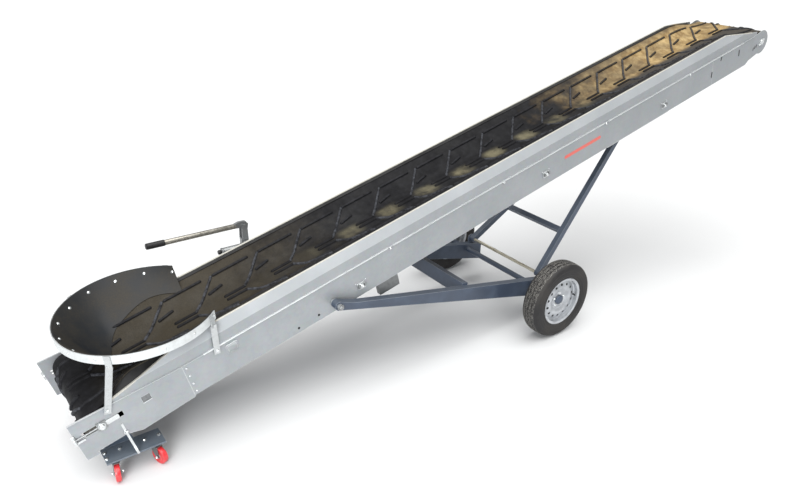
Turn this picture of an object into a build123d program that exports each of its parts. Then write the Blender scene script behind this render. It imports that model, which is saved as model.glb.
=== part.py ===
from build123d import *
import os
from math import sin, cos, tan, atan2, radians, degrees, hypot

# Mobile belt conveyor: a long inclined chassis of folded sheet with a troughed, cleated rubber belt,
# carried on four swivel casters at the low end and on a two-wheeled folding undercarriage.
# Millimetres. +X points to the discharge end, +Z up, the near side is -Y.
# Most of the chassis is drawn lying flat: u along it, y across, w square to it, with u = w = 0 on
# the ledge line straight above the road wheels' axle. tilt() then stands it up at its incline.

# Chassis
INCLINE = 14.34          # degrees
WHEEL_R = 281.0
LEDGE_Z = WHEEL_R + 948.6                # height of the ledge line above the axle's foot
HALF_W = 317.0           # outer face of the side panels
SHEET = 3.0
PANEL_LOW = -215.0       # lower edge of the main panels
TAIL_LOW = -236.0        # lower edge of the deeper tail panels
TAIL_U = -3269.0         # low end of the tail panels
NOTCH = (-3205.0, -3055.0, -2975.0)      # cut-out over the caster plate: its start, corner and end
NOTCH_W = -204.0
TAIL_JOINT_U = -2674.0
HEAD_JOINT_U = 1985.0
FLANGE = 25.0            # inward fold along the panels' lower edge
SKIRT_STEP = 67.0        # upright strip above the ledge
SKIRT_TOP = 125.0
SKIRT_IN = HALF_W - 27   # the skirt's top edge leans in to here
SKIRT_LOW_U, SKIRT_HIGH_U = -3060.0, 2600.0

# Belt
BELT_T = 8.0
BELT_HALF = HALF_W - 17
FLAT_HALF = 85.0         # flat floor of the trough
WING_ANGLE = 27.0
FOLD = FLAT_HALF - BELT_T * tan(radians(WING_ANGLE) / 2)     # where the upper face folds
CLEAT_H = 10.0
CLEAT_T = 13.0
CLEAT_ROOT = 2.0         # depth that a raised bar is sunk in the belt
CLEAT_PITCH = 311.0
CLEAT_FIRST = -2750.0
TROUGH_TAIL_U, TROUGH_HEAD_U = -2880.0, 2200.0
# One repeat of the raised pattern on one half: along and across of both ends, in belt measure
CLEATS = [
    (-125, 20, 0, 20),       # stem beside the middle
    (0, 20, 190, 208),       # arm out to the edge
    (205, 210, 435, 213),    # bar along the edge
    (125, 108, 212, 125),    # short bar between two arms
]

# Pulleys: centre u, centre w, radius
TAIL_C = (-3133.0, -70.0, 82.0)
HEAD_C = (2680.0, -88.0, 64.0)
SHAFT_R = 15.0
FIT = 0.05               # radial clearance of a shaft in its hole
SEAT = 0.3               # gap where a curved face sits against another piece
NOSE_R = 98.0
BELT_IN = TAIL_C[1] + TAIL_C[2]          # underside of the carrying run
RETURN_IN = TAIL_C[1] - TAIL_C[2]        # inner face of the return run
RETURN_TIP = RETURN_IN - BELT_T - CLEAT_H

# Undercarriage, side view (x, z)
WHEEL_W = 145.0
AXLE_R = 20.0
ARM_IN = HALF_W + 21
ARM_OUT = ARM_IN + 50
TRACK_HALF = ARM_OUT + 224
PIVOT = (-1665.0, LEDGE_Z - 574.6)
PIVOT_R = 12.0
ARM_END_X = 150.0
KNEE = (75.0, WHEEL_R + 64)              # rod on which the prop turns
CROSS = (-645.0, WHEEL_R + 144, 50.0, 95.0)      # cross tube: x, z, width, height
LEG_W, LEG_D = 50.0, 44.0
LEG_Y_LOW, LEG_Y_TOP = ARM_IN + 19, 125.0
TOP_W = -250.0           # the prop's top runs along this w
TOP_U = 1144.0
ROLLER_R = 21.0
TRACK_Y = (212.0, 244.0)                 # inner and outer side of a track channel
EYE_DRIFT = 28.0         # how far the bar wanders along the rod's slotted eye

# Casters
CASTER_R, CASTER_W, CASTER_TRAIL, CASTER_TOP = 50.0, 28.0, 38.0, 137.0
PLATE_T = 8.0
PLATE_X = (-3033.0, -2726.0)
PLATE_OUT = HALF_W + 13
PLATE_IN = PLATE_OUT - 130
SWIVEL_Y = PLATE_OUT - 60
# x, y, heading of the trailing wheel in degrees
CASTERS = {
    "near_tail": (-2980.0, -SWIVEL_Y, 260.0),
    "near_front": (-2776.0, -SWIVEL_Y, 292.0),
    "far_tail": (-2980.0, SWIVEL_Y, 232.0),
    "far_front": (-2776.0, SWIVEL_Y, 262.0),
}
TAIL_TIE_U, TAIL_TIE_W = -3060.0, -200.0
STAY_U = -3053.0

# Hopper, world frame
HOP_C = (-2681.0, 0.0)   # middle of the rim's circle
HOP_R = 430.0
HOP_Z = LEDGE_Z - 424.6
HOP_TILT = 4.6
MOUTH_HALF = 45.0        # degrees left open on each side of the discharge direction
RIM_BACK = 110.0         # degrees where the rim's back arc begins, over the foot's corner
FOOT_ARC = (-2818.0, 115.0)              # foot on the belt's plane: u of its back arc, and radius
FOOT_END = (-2412.0, 138.0)              # u and y of its open ends
BAND_H = 50.0
BAND_T = 4.0
RUBBER_T = 6.0
STRAP_W, STRAP_T = 34.0, 4.0
# u and w of a strap's foot on the panel, and where round the rim it ends, in degrees
STRAPS = [(-3078.0, -0.3, 232.5), (-2476.1, -20.0, 309.0)]

# Hand pump on the far side: x and z of the lever's pin, and y of the pump
PUMP_X, PUMP_Z, PUMP_Y = -1890.0, LEDGE_Z - 285.6, HALF_W + 53

SI, CO = sin(radians(INCLINE)), cos(radians(INCLINE))


def tilt(shape):
    """Stand a piece drawn along the chassis up at its incline."""
    return Pos(0, 0, LEDGE_Z) * Rot(0, -INCLINE, 0) * shape


def world(u, w):
    return u * CO - w * SI, LEDGE_Z + u * SI + w * CO


def local(x, z):
    return x * CO + (z - LEDGE_Z) * SI, -x * SI + (z - LEDGE_Z) * CO


def side(points, y0, y1):
    """A plate: an outline of (along, up) points, filled across the machine from y0 to y1."""
    return extrude(Plane.XZ.offset(-y1) * Polygon(*points, align=None), amount=y1 - y0, dir=(0, -1, 0))


def run(points, a, b):
    """A section of (across, up) points carried along the machine from a to b."""
    return extrude(Plane.YZ.offset(a) * Polygon(*points, align=None), amount=b - a, dir=(1, 0, 0))


def block(x0, x1, y0, y1, z0, z1):
    return Pos((x0 + x1) / 2, (y0 + y1) / 2, (z0 + z1) / 2) * Box(x1 - x0, y1 - y0, z1 - z0)


def rod(p, q, r):
    """A round bar from point p to point q."""
    p, q = Vector(*p), Vector(*q)
    return Solid.make_cylinder(r, (q - p).length, Plane(origin=p, z_dir=q - p))


def cross(x, z, r, y0, y1):
    return rod((x, y0, z), (x, y1, z), r)


def beam(p, q, wide, deep):
    """A box bar from p to q, wide across the machine and deep in side view."""
    p, q = Vector(*p), Vector(*q)
    frame = Plane(origin=(p + q) * 0.5, x_dir=Vector(0, 1, 0).cross(q - p), z_dir=q - p)
    return frame * Box(deep, wide, (q - p).length)


def both(shape):
    return shape, shape.mirror(Plane.XZ)


def whole(parts):
    """One solid from pieces that overlap or share a face."""
    first = parts[0]
    return first.fuse(*parts[1:]) if len(parts) > 1 else first


def group(parts):
    """Like pieces that don't touch, kept as separate solids of one node."""
    solids = []
    for p in parts:
        solids += p.solids()
    return Compound(solids)


# Chassis panels, drawn for the near side
def main_panel():
    y0, y1 = -HALF_W, -HALF_W + SHEET
    a, b = TAIL_JOINT_U, HEAD_JOINT_U
    web = side([(a, PANEL_LOW), (b, PANEL_LOW), (b, 0), (a, 0)], y0, y1)
    fold = block(TAIL_JOINT_U, HEAD_JOINT_U, y1, y1 + FLANGE, PANEL_LOW, PANEL_LOW + SHEET)
    lip = block(TAIL_JOINT_U, HEAD_JOINT_U, y0 - 6, y0, -SHEET, 0)
    u, w = local(*PIVOT)
    return tilt(whole([web, fold, lip]) - cross(u, w, PIVOT_R + FIT, y0 - 9, y1 + 9))


def tail_edge(rise):
    """The tail panel's lower edge, with the cut-out over the caster plate, raised by so much."""
    return [(TAIL_U, TAIL_LOW + 15 + rise), (NOTCH[0], TAIL_LOW + 9 + rise), (NOTCH[0], NOTCH_W + rise),
            (NOTCH[1], NOTCH_W + rise), (NOTCH[2], TAIL_LOW + rise), (TAIL_JOINT_U, TAIL_LOW + 10 + rise)]


def tail_panel():
    y0, y1 = -HALF_W, -HALF_W + SHEET
    web = side(tail_edge(0) + [(TAIL_JOINT_U, 0), (TAIL_U, 31)], y0, y1)
    lip = side([(TAIL_U, 28), (TAIL_JOINT_U, -SHEET), (TAIL_JOINT_U, 0), (TAIL_U, 31)], y0 - 6, y0)
    fold = side(tail_edge(0)[4:] + tail_edge(SHEET)[:3:-1], y1, y1 + FLANGE)
    slot = block(TAIL_C[0] - 99, TAIL_C[0] + 113, y0 - 9, y1 + 9, TAIL_C[1] - 16, TAIL_C[1] + 16)
    window = block(-2915, -2870, y0 - 9, y1 + 9, -82, -44)
    return tilt(whole([web, lip, fold]) - slot - window)


def head_panel():
    y0, y1 = -HALF_W, -HALF_W + SHEET
    u, w = HEAD_C[0], HEAD_C[1]
    web = side([(HEAD_JOINT_U, PANEL_LOW), (2465, PANEL_LOW), (2510, -192), (u - 40, w - NOSE_R + 12),
                (u, w), (u, w + NOSE_R), (2600, 0), (HEAD_JOINT_U, 0)], y0, y1)
    nose = cross(u, w, NOSE_R, y0, y1)
    lip = block(HEAD_JOINT_U, 2560, y0 - 6, y0, -SHEET, 0)
    fold = block(HEAD_JOINT_U, 2440, y1, y1 + FLANGE, PANEL_LOW, PANEL_LOW + SHEET)
    return tilt(whole([web, nose, lip, fold]) - cross(u, w, SHAFT_R + FIT, y0 - 9, y1 + 9))


def skirt():
    """The strip above the ledge: upright at first, then leaning in towards the belt."""
    h, i, t = HALF_W, SKIRT_IN, SHEET
    strip = run([(-h, 0), (-h + t, 0), (-h + t, SKIRT_STEP - 1), (-i + t, SKIRT_TOP), (-i, SKIRT_TOP),
                 (-h, SKIRT_STEP)], SKIRT_LOW_U, SKIRT_HIGH_U)
    keep = side([(SKIRT_LOW_U, 0), (SKIRT_HIGH_U, 0), (SKIRT_HIGH_U, 25), (SKIRT_HIGH_U - 410, SKIRT_TOP),
                 (SKIRT_LOW_U + 460, SKIRT_TOP + 1), (SKIRT_LOW_U, 35)], -h - 9, -i + 9)
    return tilt(strip & keep) - main_panel() - tail_panel() - head_panel()


# Belt
def belt_section(u, base, angle):
    """The belt cut across at u: flat floor, two wings raised by angle."""
    a = radians(angle)
    wing = BELT_HALF - FLAT_HALF
    k = BELT_T * tan(a / 2)
    tip = (FLAT_HALF + wing * cos(a), base + wing * sin(a))
    low = [(FLAT_HALF, base), tip]
    top = [(tip[0] - BELT_T * sin(a), tip[1] + BELT_T * cos(a)), (FLAT_HALF - k, base + BELT_T)]
    right = low + top
    left = [(-y, w) for y, w in reversed(right)]
    return Plane.YZ.offset(u) * Polygon(*(right + left), align=None)


def wrap(centre, r0, r1, half, towards):
    """Half a ring of belt round a pulley."""
    ring = cross(centre[0], centre[1], r1, -half, half) - cross(centre[0], centre[1], r0, -half - 1, half + 1)
    a, b = sorted((centre[0], centre[0] + towards * 2 * r1))
    return ring & block(a, b, -half, half, centre[1] - r1 - 1, centre[1] + r1 + 1)


def cleat(s0, t0, s1, t1):
    """A raised bar on a flat belt whose face is w = 0."""
    length = hypot(s1 - s0, t1 - t0)
    turn = degrees(atan2(t1 - t0, s1 - s0))
    middle = Pos((s0 + s1) / 2, (t0 + t1) / 2, (CLEAT_H - CLEAT_ROOT) / 2)
    return middle * Rot(0, 0, turn) * Box(length, CLEAT_T, CLEAT_H + CLEAT_ROOT)


def folded_cleat(s0, t0, s1, t1):
    """The same bar in the trough: what lies outside the fold is turned up with the wing."""
    if t0 < FOLD < t1:
        s = s0 + (s1 - s0) * (FOLD - t0) / (t1 - t0)
        return folded_cleat(s0, t0, s, FOLD) + folded_cleat(s, FOLD, s1, t1)
    bar = cleat(s0, t0, s1, t1)
    if t1 > FOLD:
        bar = Pos(0, FOLD, 0) * Rot(WING_ANGLE, 0, 0) * Pos(0, -FOLD, 0) * bar
    return [bar]


def carrying_cleats():
    out, u = [], CLEAT_FIRST
    while u < TROUGH_HEAD_U:
        for row in CLEATS:
            if u + row[2] < TROUGH_HEAD_U:
                out += [Pos(u, 0, BELT_IN + BELT_T) * half for bar in folded_cleat(*row) for half in both(bar)]
        u += CLEAT_PITCH
    return out


def return_cleats():
    out, u = [], CLEAT_FIRST
    while u < TROUGH_HEAD_U:
        place = Pos(u, 0, RETURN_IN - BELT_T) * Rot(180, 0, 0)
        out += [place * half for row in CLEATS for half in both(cleat(*row))]
        u += CLEAT_PITCH
    return out


def belt():
    ht, hh = TAIL_C, HEAD_C
    flat_t = belt_section(ht[0], BELT_IN, 0)
    deep_t = belt_section(TROUGH_TAIL_U, BELT_IN, WING_ANGLE)
    deep_h = belt_section(TROUGH_HEAD_U, BELT_IN, WING_ANGLE)
    flat_h = belt_section(hh[0], hh[1] + hh[2], 0)
    parts = [
        loft([flat_t, deep_t], ruled=True), loft([deep_t, deep_h], ruled=True),
        loft([deep_h, flat_h], ruled=True),
        wrap(ht, ht[2], ht[2] + BELT_T, BELT_HALF, -1), wrap(hh, hh[2], hh[2] + BELT_T, BELT_HALF, 1),
        block(ht[0], hh[0], -BELT_HALF, BELT_HALF, RETURN_IN - BELT_T, RETURN_IN),
    ]
    return tilt(whole(parts + carrying_cleats() + return_cleats()))


def drum(centre):
    u, w, r = centre
    half = BELT_HALF + 6
    shaft = HALF_W + 12
    return tilt(whole([cross(u, w, r - SEAT, -half, half), cross(u, w, SHAFT_R, -shaft, shaft)]))


def bed():
    """Sheet trough under the carrying run, with its edges out to the panels."""
    a = radians(WING_ANGLE)
    wing = 92.0
    base = BELT_IN - SHEET - SEAT
    k = SHEET * tan(a / 2)
    y1, w1 = FLAT_HALF + wing * cos(a), base + wing * sin(a)
    inner = HALF_W - SHEET
    right = [(FLAT_HALF + k, base), (y1 + SHEET * sin(a), w1 - 0), (inner, w1), (inner, w1 + SHEET),
             (y1, w1 + SHEET), (FLAT_HALF, base + SHEET)]
    left = [(-y, w) for y, w in reversed(right)]
    return tilt(run(right + left, TROUGH_TAIL_U + 20, TROUGH_HEAD_U - 20))


def ties():
    """Cross tubes between the two runs of the belt."""
    inner = HALF_W - SHEET
    return group([tilt(block(u - 20, u + 20, -inner, inner, -80, -40)) for u in (-2400, -1200, 0, 1200, 2300)])


def low_ties():
    """Flat bars under the return run: they carry the track and the cylinder's foot."""
    inner = HALF_W - SHEET
    bars = [tilt(block(u - 20, u + 20, -inner, inner, PANEL_LOW - 5, PANEL_LOW + 25) -
                 block(u - 25, u + 25, -inner - 1, -inner + FLANGE, PANEL_LOW - 6, PANEL_LOW + SHEET) -
                 block(u - 25, u + 25, inner - FLANGE, inner + 1, PANEL_LOW - 6, PANEL_LOW + SHEET))
            for u in (-160, 800, 1500)]
    tail = block(TAIL_TIE_U - 20, TAIL_TIE_U + 20, -inner, inner, TAIL_TIE_W, TAIL_TIE_W + 25)
    return group(bars + [tilt(tail)])


def rollers():
    """Return rollers, running on the raised pattern."""
    r, inner = 17.0, HALF_W - SHEET
    w = RETURN_TIP - r - 1
    one = lambda u: whole([cross(u, w, r, -BELT_HALF - 2, BELT_HALF + 2), cross(u, w, 8, -inner, inner)])
    return group([tilt(one(u)) for u in (-2500, -1300, -500, 400, 1900)])


def stop_blocks():
    """Blocks under the panels' folds, just ahead of the undercarriage's pivot."""
    return group(both(tilt(block(-1440, -1290, -HALF_W + SHEET, -HALF_W + 38, PANEL_LOW - 82, PANEL_LOW))))


def track():
    """Two channels under the chassis for the prop's rollers."""
    y0, y1, t = *TRACK_Y, 4.0
    h = ROLLER_R + 5
    out = []
    for s in (-1, 1):
        pts = [(y0, -h - t), (y1, -h - t), (y1, h + t), (y0, h + t), (y0, h), (y1 - t, h), (y1 - t, -h),
               (y0, -h)]
        out.append(tilt(run([(s * y, w + TOP_W) for y, w in pts], 780, 1520)))
    return group(out)


# Undercarriage
def arm():
    bottom = lambda x: WHEEL_R - 87 - 0.257 * x
    top = lambda x: WHEEL_R + 42 - 0.2043 * x
    px, pz = PIVOT
    outline = [(px, pz - 28), (ARM_END_X, bottom(ARM_END_X)), (ARM_END_X, top(ARM_END_X)),
               (px + 120, top(px + 120) + 4), (px, pz + 28)]
    body = whole([side(outline, -ARM_OUT, -ARM_IN), cross(px, pz, 28, -ARM_OUT, -ARM_IN)])
    kx, kz = KNEE
    lug = whole([block(kx - 30, kx + 30, -ARM_OUT, -ARM_OUT + 9, top(kx) - 20, kz),
                 cross(kx, kz, 30, -ARM_OUT, -ARM_OUT + 9)])
    body = whole([body, lug])
    for x, z, r in ((px, pz, PIVOT_R), (0, WHEEL_R, AXLE_R), (kx, kz, PIVOT_R)):
        body = body - cross(x, z, r + FIT, -ARM_OUT - 9, -ARM_IN + 9)
    return body


def cross_tube():
    x, z, wide, tall = CROSS
    slope = degrees(atan2(WHEEL_R - PIVOT[1], -PIVOT[0]))
    return Pos(x, 0, z) * Rot(0, -slope, 0) * Box(wide, 2 * ARM_IN, tall)


def axle():
    return cross(0, WHEEL_R, AXLE_R, -TRACK_HALF - 20, TRACK_HALF + 20)


def knee_rod():
    return cross(*KNEE, PIVOT_R, -ARM_OUT - 12, ARM_OUT + 12)


def pivot_pin():
    px, pz = PIVOT
    return whole([cross(px, pz, PIVOT_R, -ARM_OUT - 8, -HALF_W + 14),
                  cross(px, pz, 22, -ARM_IN + SEAT, -HALF_W - SEAT - 6),
                  cross(px, pz, 19, -ARM_OUT - 16, -ARM_OUT - SEAT)])


def prop():
    """Two legs leaning in to a short top bar, tied by a cross tube."""
    kx, kz = KNEE
    tx, tz = world(TOP_U, TOP_W)
    lo, hi = Vector(kx, -LEG_Y_LOW, kz), Vector(tx, -LEG_Y_TOP, tz)
    leg = whole([beam(lo, hi, LEG_W - 10, LEG_D),
                 cross(kx, kz, 23, -LEG_Y_LOW - 20, -LEG_Y_LOW + 19),
                 cross(tx, tz, 22, -LEG_Y_TOP - 25, -LEG_Y_TOP + 25)])
    leg = leg - cross(kx, kz, PIVOT_R + FIT, -500, -200) - cross(tx, tz, PIVOT_R + FIT, -250, 0)
    t = 0.265
    at = lo + (hi - lo) * t
    d = (hi - lo).normalized()
    y = abs(at.Y) - 10
    tie = Plane(origin=(at.X, 0, at.Z), x_dir=(d.X, 0, d.Z), z_dir=(-d.Z, 0, d.X)) * Box(40, 2 * y, 40)
    return whole([leg, leg.mirror(Plane.XZ), tie])


def prop_bar():
    tx, tz = world(TOP_U, TOP_W)
    return cross(tx, tz, PIVOT_R, -TRACK_Y[1] + 6, TRACK_Y[1] - 6)


def prop_rollers():
    tx, tz = world(TOP_U, TOP_W)
    y0, y1 = -TRACK_Y[1] + 8, -TRACK_Y[0] - 2
    one = cross(tx, tz, ROLLER_R, y0, y1) - cross(tx, tz, PIVOT_R + FIT, y0 - 4, y1 + 4)
    return group(both(one))


def barrel():
    """Lift cylinder along the chassis, its foot on a cross bar."""
    tube = rod((-130, 0, TOP_W), (720, 0, TOP_W), 25)
    foot = block(-175, -120, -20, 20, TOP_W - 22, PANEL_LOW - 5)
    bore = rod((0, 0, TOP_W), (730, 0, TOP_W), 14 + FIT)
    return tilt(whole([tube, foot]) - bore)


def ram():
    """Cylinder rod with a slotted eye, in which the prop's bar is free to wander."""
    half, reach = PIVOT_R + 3, EYE_DRIFT + 2
    stadium = lambda r, y: whole([cross(TOP_U - reach, TOP_W, r, -y, y), cross(TOP_U + reach, TOP_W, r, -y, y),
                                  block(TOP_U - reach, TOP_U + reach, -y, y, TOP_W - r, TOP_W + r)])
    rod_part = rod((330, 0, TOP_W), (TOP_U - reach - half - 2, 0, TOP_W), 14)
    return tilt(whole([rod_part, stadium(half + 9, 18)]) - stadium(half, 30))


# Road wheels, drawn about the axle for the near side; across = outwards
VENTS = 14


def turned(points, y_mid, sign):
    """Revolve an outline of (outwards, radius) points about the axle."""
    face = Plane.XY * Polygon(*[(r, sign * a) for a, r in points], align=None)
    return Pos(0, y_mid, WHEEL_R) * revolve(face, Axis.Y)


def tyre(sign):
    h = WHEEL_W / 2
    half = [(54.8, 165), (h, 225), (h - 6, 262), (h - 38, WHEEL_R)]
    pts = half + [(-a, r) for a, r in reversed(half)]
    return turned(pts, sign * TRACK_HALF, sign)


def rim(sign):
    ring = turned([(59.4, 177), (55.4, 164.6), (16, 164.6), (10, 150), (-30, 150), (-36, 164.6), (-55.4, 164.6),
                   (-59.4, 177), (-62.4, 177), (-58, 160), (-33, 160), (-27, 145), (7, 145), (13, 160), (58, 160),
                   (62.4, 177)], sign * TRACK_HALF, sign)
    disc = turned([(4, 34), (14, 98), (1, 146), (7, 146), (20, 98), (10, 34)], sign * TRACK_HALF, sign)
    body = whole([ring, disc])
    y = sign * TRACK_HALF
    for i in range(VENTS):
        a = radians(i * 360 / VENTS)
        body = body - cross(122 * cos(a), WHEEL_R + 122 * sin(a), 8, y - 30, y + 30)
    return body


def hub(sign):
    y = sign * TRACK_HALF
    o = lambda a: y + sign * a
    span = lambda a, b: (min(o(a), o(b)), max(o(a), o(b)))
    body = whole([cross(0, WHEEL_R, 60, *span(-12, 4 - SEAT)), cross(0, WHEEL_R, 42, *span(-52, -12)),
                  cross(0, WHEEL_R, 33.7, *span(4 - SEAT, 30))])
    return body - cross(0, WHEEL_R, AXLE_R + FIT, *span(-80, 20 + FIT))


# Casters
def caster_plate():
    """Level plate with both caster heads under it and a web up to the tail's low tie."""
    z = CASTER_TOP + PLATE_T
    plate = block(*PLATE_X, -PLATE_OUT, -PLATE_IN, CASTER_TOP, z)
    heads = [block(x - 38, x + 38, y - 38, y + 38, CASTER_TOP - 4, CASTER_TOP)
             for x, y, turn in (CASTERS["near_tail"], CASTERS["near_front"])]
    web = side([(PLATE_X[0] + 18, z), (PLATE_X[1] - 134, z), world(TAIL_TIE_U + 20, TAIL_TIE_W),
                world(TAIL_TIE_U - 20, TAIL_TIE_W)], -PLATE_IN - 6, -PLATE_IN)
    return whole([plate] + heads + [web])


def caster_stays():
    """Thin flat bars on the tail panels, square to the chassis, joggled out to the caster plates' edges."""
    level = lambda z: (z - world(STAY_U, 0)[1]) / CO
    z = CASTER_TOP + PLATE_T
    outline = [(-HALF_W - SHEET, -129), (-HALF_W, -129), (-HALF_W, level(z + 37)), (-PLATE_OUT, level(z + 17)),
               (-PLATE_OUT, level(CASTER_TOP - 9)), (-PLATE_OUT - SHEET, level(CASTER_TOP - 9)),
               (-PLATE_OUT - SHEET, level(z + 19)), (-HALF_W - SHEET, level(z + 39))]
    bar = tilt(run(outline, STAY_U - 6, STAY_U + 6))
    keep = block(PLATE_X[0], PLATE_X[1], -PLATE_OUT - 9, 0, CASTER_TOP, LEDGE_Z)
    return group(both(bar & keep))


def caster_fork(x, y, turn):
    gap = CASTER_W / 2 + 2
    z = CASTER_TOP - 4 - SEAT
    cup = Pos(0, 0, z - 10) * Cylinder(25, 20)
    crown = block(-42, 20, -gap - 3, gap + 3, z - 24, z - 20)
    parts = [cup, crown]
    for s in (-1, 1):
        near, far = sorted((s * gap, s * (gap + 3)))
        parts.append(side([(-42, z - 22), (20, z - 22), (-CASTER_TRAIL + 13, CASTER_R - 8),
                           (-CASTER_TRAIL - 13, CASTER_R - 8)], near, far))
        parts.append(cross(-CASTER_TRAIL, CASTER_R, 13, near, far))
    parts.append(cross(-CASTER_TRAIL, CASTER_R, 5, -gap - 8, gap + 8))
    return Pos(x, y, 0) * Rot(0, 0, turn - 180) * whole(parts)


def caster_wheel(x, y, turn):
    half = CASTER_W / 2
    body = cross(-CASTER_TRAIL, CASTER_R, CASTER_R, -half, half)
    body = body - cross(-CASTER_TRAIL, CASTER_R, 5 + FIT, -half - 1, half + 1)
    return Pos(x, y, 0) * Rot(0, 0, turn - 180) * body


# Hopper
def hopper_frame():
    return Pos(HOP_C[0], HOP_C[1], HOP_Z) * Rot(0, -HOP_TILT, 0)


def round_rim(r, degrees_round):
    a = radians(degrees_round)
    return r * cos(a), r * sin(a)


def mouth():
    """Wedge over the open side, towards the discharge end."""
    far = 4 * HOP_R
    wedge = Polygon((0, 0), round_rim(far, -MOUTH_HALF), round_rim(far, MOUTH_HALF), align=None)
    return extrude(Plane.XY.offset(-BAND_H * 2) * wedge, amount=BAND_H * 3, dir=(0, 0, 1))


def hopper_band():
    ring = Cylinder(HOP_R, BAND_H) - Cylinder(HOP_R - BAND_T, BAND_H + 2)
    return hopper_frame() * (Pos(0, 0, -BAND_H / 2) * ring - mouth())


def open_ring(outer, inner):
    """A face between two open outlines of three edges each, closed by a line at each open end."""
    ends = [Line(outer[0] @ 0, inner[0] @ 0), Line(outer[-1] @ 1, inner[-1] @ 1)]
    return make_face(outer + inner + ends)


def rim_line(r):
    p = lambda a: round_rim(r, a)
    cuts = [MOUTH_HALF, RIM_BACK, 360 - RIM_BACK, 360 - MOUTH_HALF]
    return [ThreePointArc(p(a), p((a + b) / 2), p(b)) for a, b in zip(cuts, cuts[1:])]


def foot_line(gap):
    u, r = FOOT_ARC[0], FOOT_ARC[1] - gap
    u1, y1 = FOOT_END[0], FOOT_END[1] - gap
    return [Line((u1, y1), (u, r)), ThreePointArc((u, r), (u - r, 0), (u, -r)), Line((u, -r), (u1, -y1))]


def over_belt():
    """What a piece must leave free over the trough: the belt with its raised pattern."""
    w = BELT_IN + BELT_T + CLEAT_H + 3
    y = HALF_W - SHEET
    wing = w + (y - FOLD) * tan(radians(WING_ANGLE))
    return tilt(run([(-y, -300), (y, -300), (y, wing), (FOLD, w), (-FOLD, w), (-y, wing)], TAIL_U, 0))


def hopper_rubber():
    """Sheet from the rim down into the trough, where its foot follows the belt."""
    r = HOP_R - BAND_T - SEAT
    top = hopper_frame() * open_ring(rim_line(r), rim_line(r - RUBBER_T))
    foot = Pos(0, 0, LEDGE_Z) * Rot(0, -INCLINE, 0) * open_ring(foot_line(0), foot_line(RUBBER_T + 1))
    return loft([foot, top], ruled=True) - over_belt()


def straps():
    """Four bars from the panels up to the band, each twisted at its top to lie flat on the band."""
    out = []
    for u0, w0, around in STRAPS:
        x0, z0 = world(u0, w0)
        tab = hopper_frame() * Rot(0, 0, around) * Pos(HOP_R + SEAT + STRAP_T / 2, 0, -BAND_H / 2 - 12)
        top = tab * Pos(0, 0, -26)
        y0 = HALF_W + 9
        foot = cross(x0, z0, 13, -y0, -HALF_W)
        bar = beam((x0, -y0, z0 - 22), tuple(top.position), STRAP_T, STRAP_W)
        out += both(whole([bar, tab * Box(STRAP_T, STRAP_W, BAND_H + 24), foot]))
    return group(out)


# Hand pump on the far side
def pump_bracket():
    u0, w0 = local(PUMP_X, PUMP_Z - 94)
    y0 = HALF_W + 6
    plate = tilt(block(u0 - 60, u0 + 60, y0, y0 + 6, -60, w0 - 18) + block(u0 - 60, u0 + 60, HALF_W, y0, -60, -20))
    return whole([plate, block(PUMP_X - 20, PUMP_X + 15, y0 + 2, PUMP_Y - 18, PUMP_Z - 119, PUMP_Z - 94)])


def pump_body():
    x, y, z = PUMP_X, PUMP_Y, PUMP_Z
    return whole([rod((x - 145, y, z - 144), (x + 10, y, z - 144), 22),
                  block(x - 25, x + 20, y - 18, y + 18, z - 154, z - 84),
                  block(x - 16, x + 14, y - 8, y - 2, z - 94, z + 6), cross(x, z, 5, y - 8, y + 22)])


def pump_lever():
    x, y, z = PUMP_X, PUMP_Y + 9, PUMP_Z
    p, grip, q = (x, y, z), (x - 400, y, z + 4), (x - 600, y, z + 6)
    bar = whole([cross(x, z, 18, y - 9, y + 9), rod(p, grip, 8), rod(grip, q, 14)])
    return bar - cross(x, z, 5 + FIT, y - 19, y + 21)


def tensioner():
    u, w = TAIL_C[0], TAIL_C[1]
    blk = block(u - 24, u + 24, -HALF_W - 8, -HALF_W - 1, w - 24, w + 24)
    bolt = rod((u - 130, -HALF_W - 5, w), (u - 24, -HALF_W - 5, w), 5)
    plate = block(u - 136, u - 130, -HALF_W - 14, -HALF_W, w - 20, w + 20)
    return tilt(whole([blk, bolt, plate]) - cross(u, w, SHAFT_R + FIT, -400, 0))


NEAR = {
    "main_panel": main_panel, "tail_panel": tail_panel, "head_panel": head_panel, "skirt": skirt,
    "tensioner": tensioner, "arm": arm, "pivot_pin": pivot_pin, "caster_plate": caster_plate,
}
SINGLE = {
    "belt": belt, "head_drum": lambda: drum(HEAD_C), "tail_drum": lambda: drum(TAIL_C), "belt_bed": bed,
    "cross_ties": ties, "low_ties": low_ties, "return_rollers": rollers, "prop_track": track,
    "stop_blocks": stop_blocks, "caster_stays": caster_stays,
    "cross_tube": cross_tube, "axle": axle, "knee_rod": knee_rod, "prop_frame": prop, "prop_bar": prop_bar,
    "prop_rollers": prop_rollers, "lift_barrel": barrel, "lift_rod": ram, "hopper_band": hopper_band,
    "hopper_rubber": hopper_rubber, "hopper_straps": straps, "pump_bracket": pump_bracket,
    "pump_body": pump_body, "pump_lever": pump_lever,
}

nodes = {}
for name, make in NEAR.items():
    near = make()
    nodes[name + "_near"], nodes[name + "_far"] = near, near.mirror(Plane.XZ)
for name, make in SINGLE.items():
    nodes[name] = make()
for name, sign in (("near", -1), ("far", 1)):
    nodes["tyre_" + name], nodes["rim_" + name], nodes["hub_" + name] = tyre(sign), rim(sign), hub(sign)
for name, row in CASTERS.items():
    nodes["fork_" + name], nodes["caster_" + name] = caster_fork(*row), caster_wheel(*row)

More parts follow.
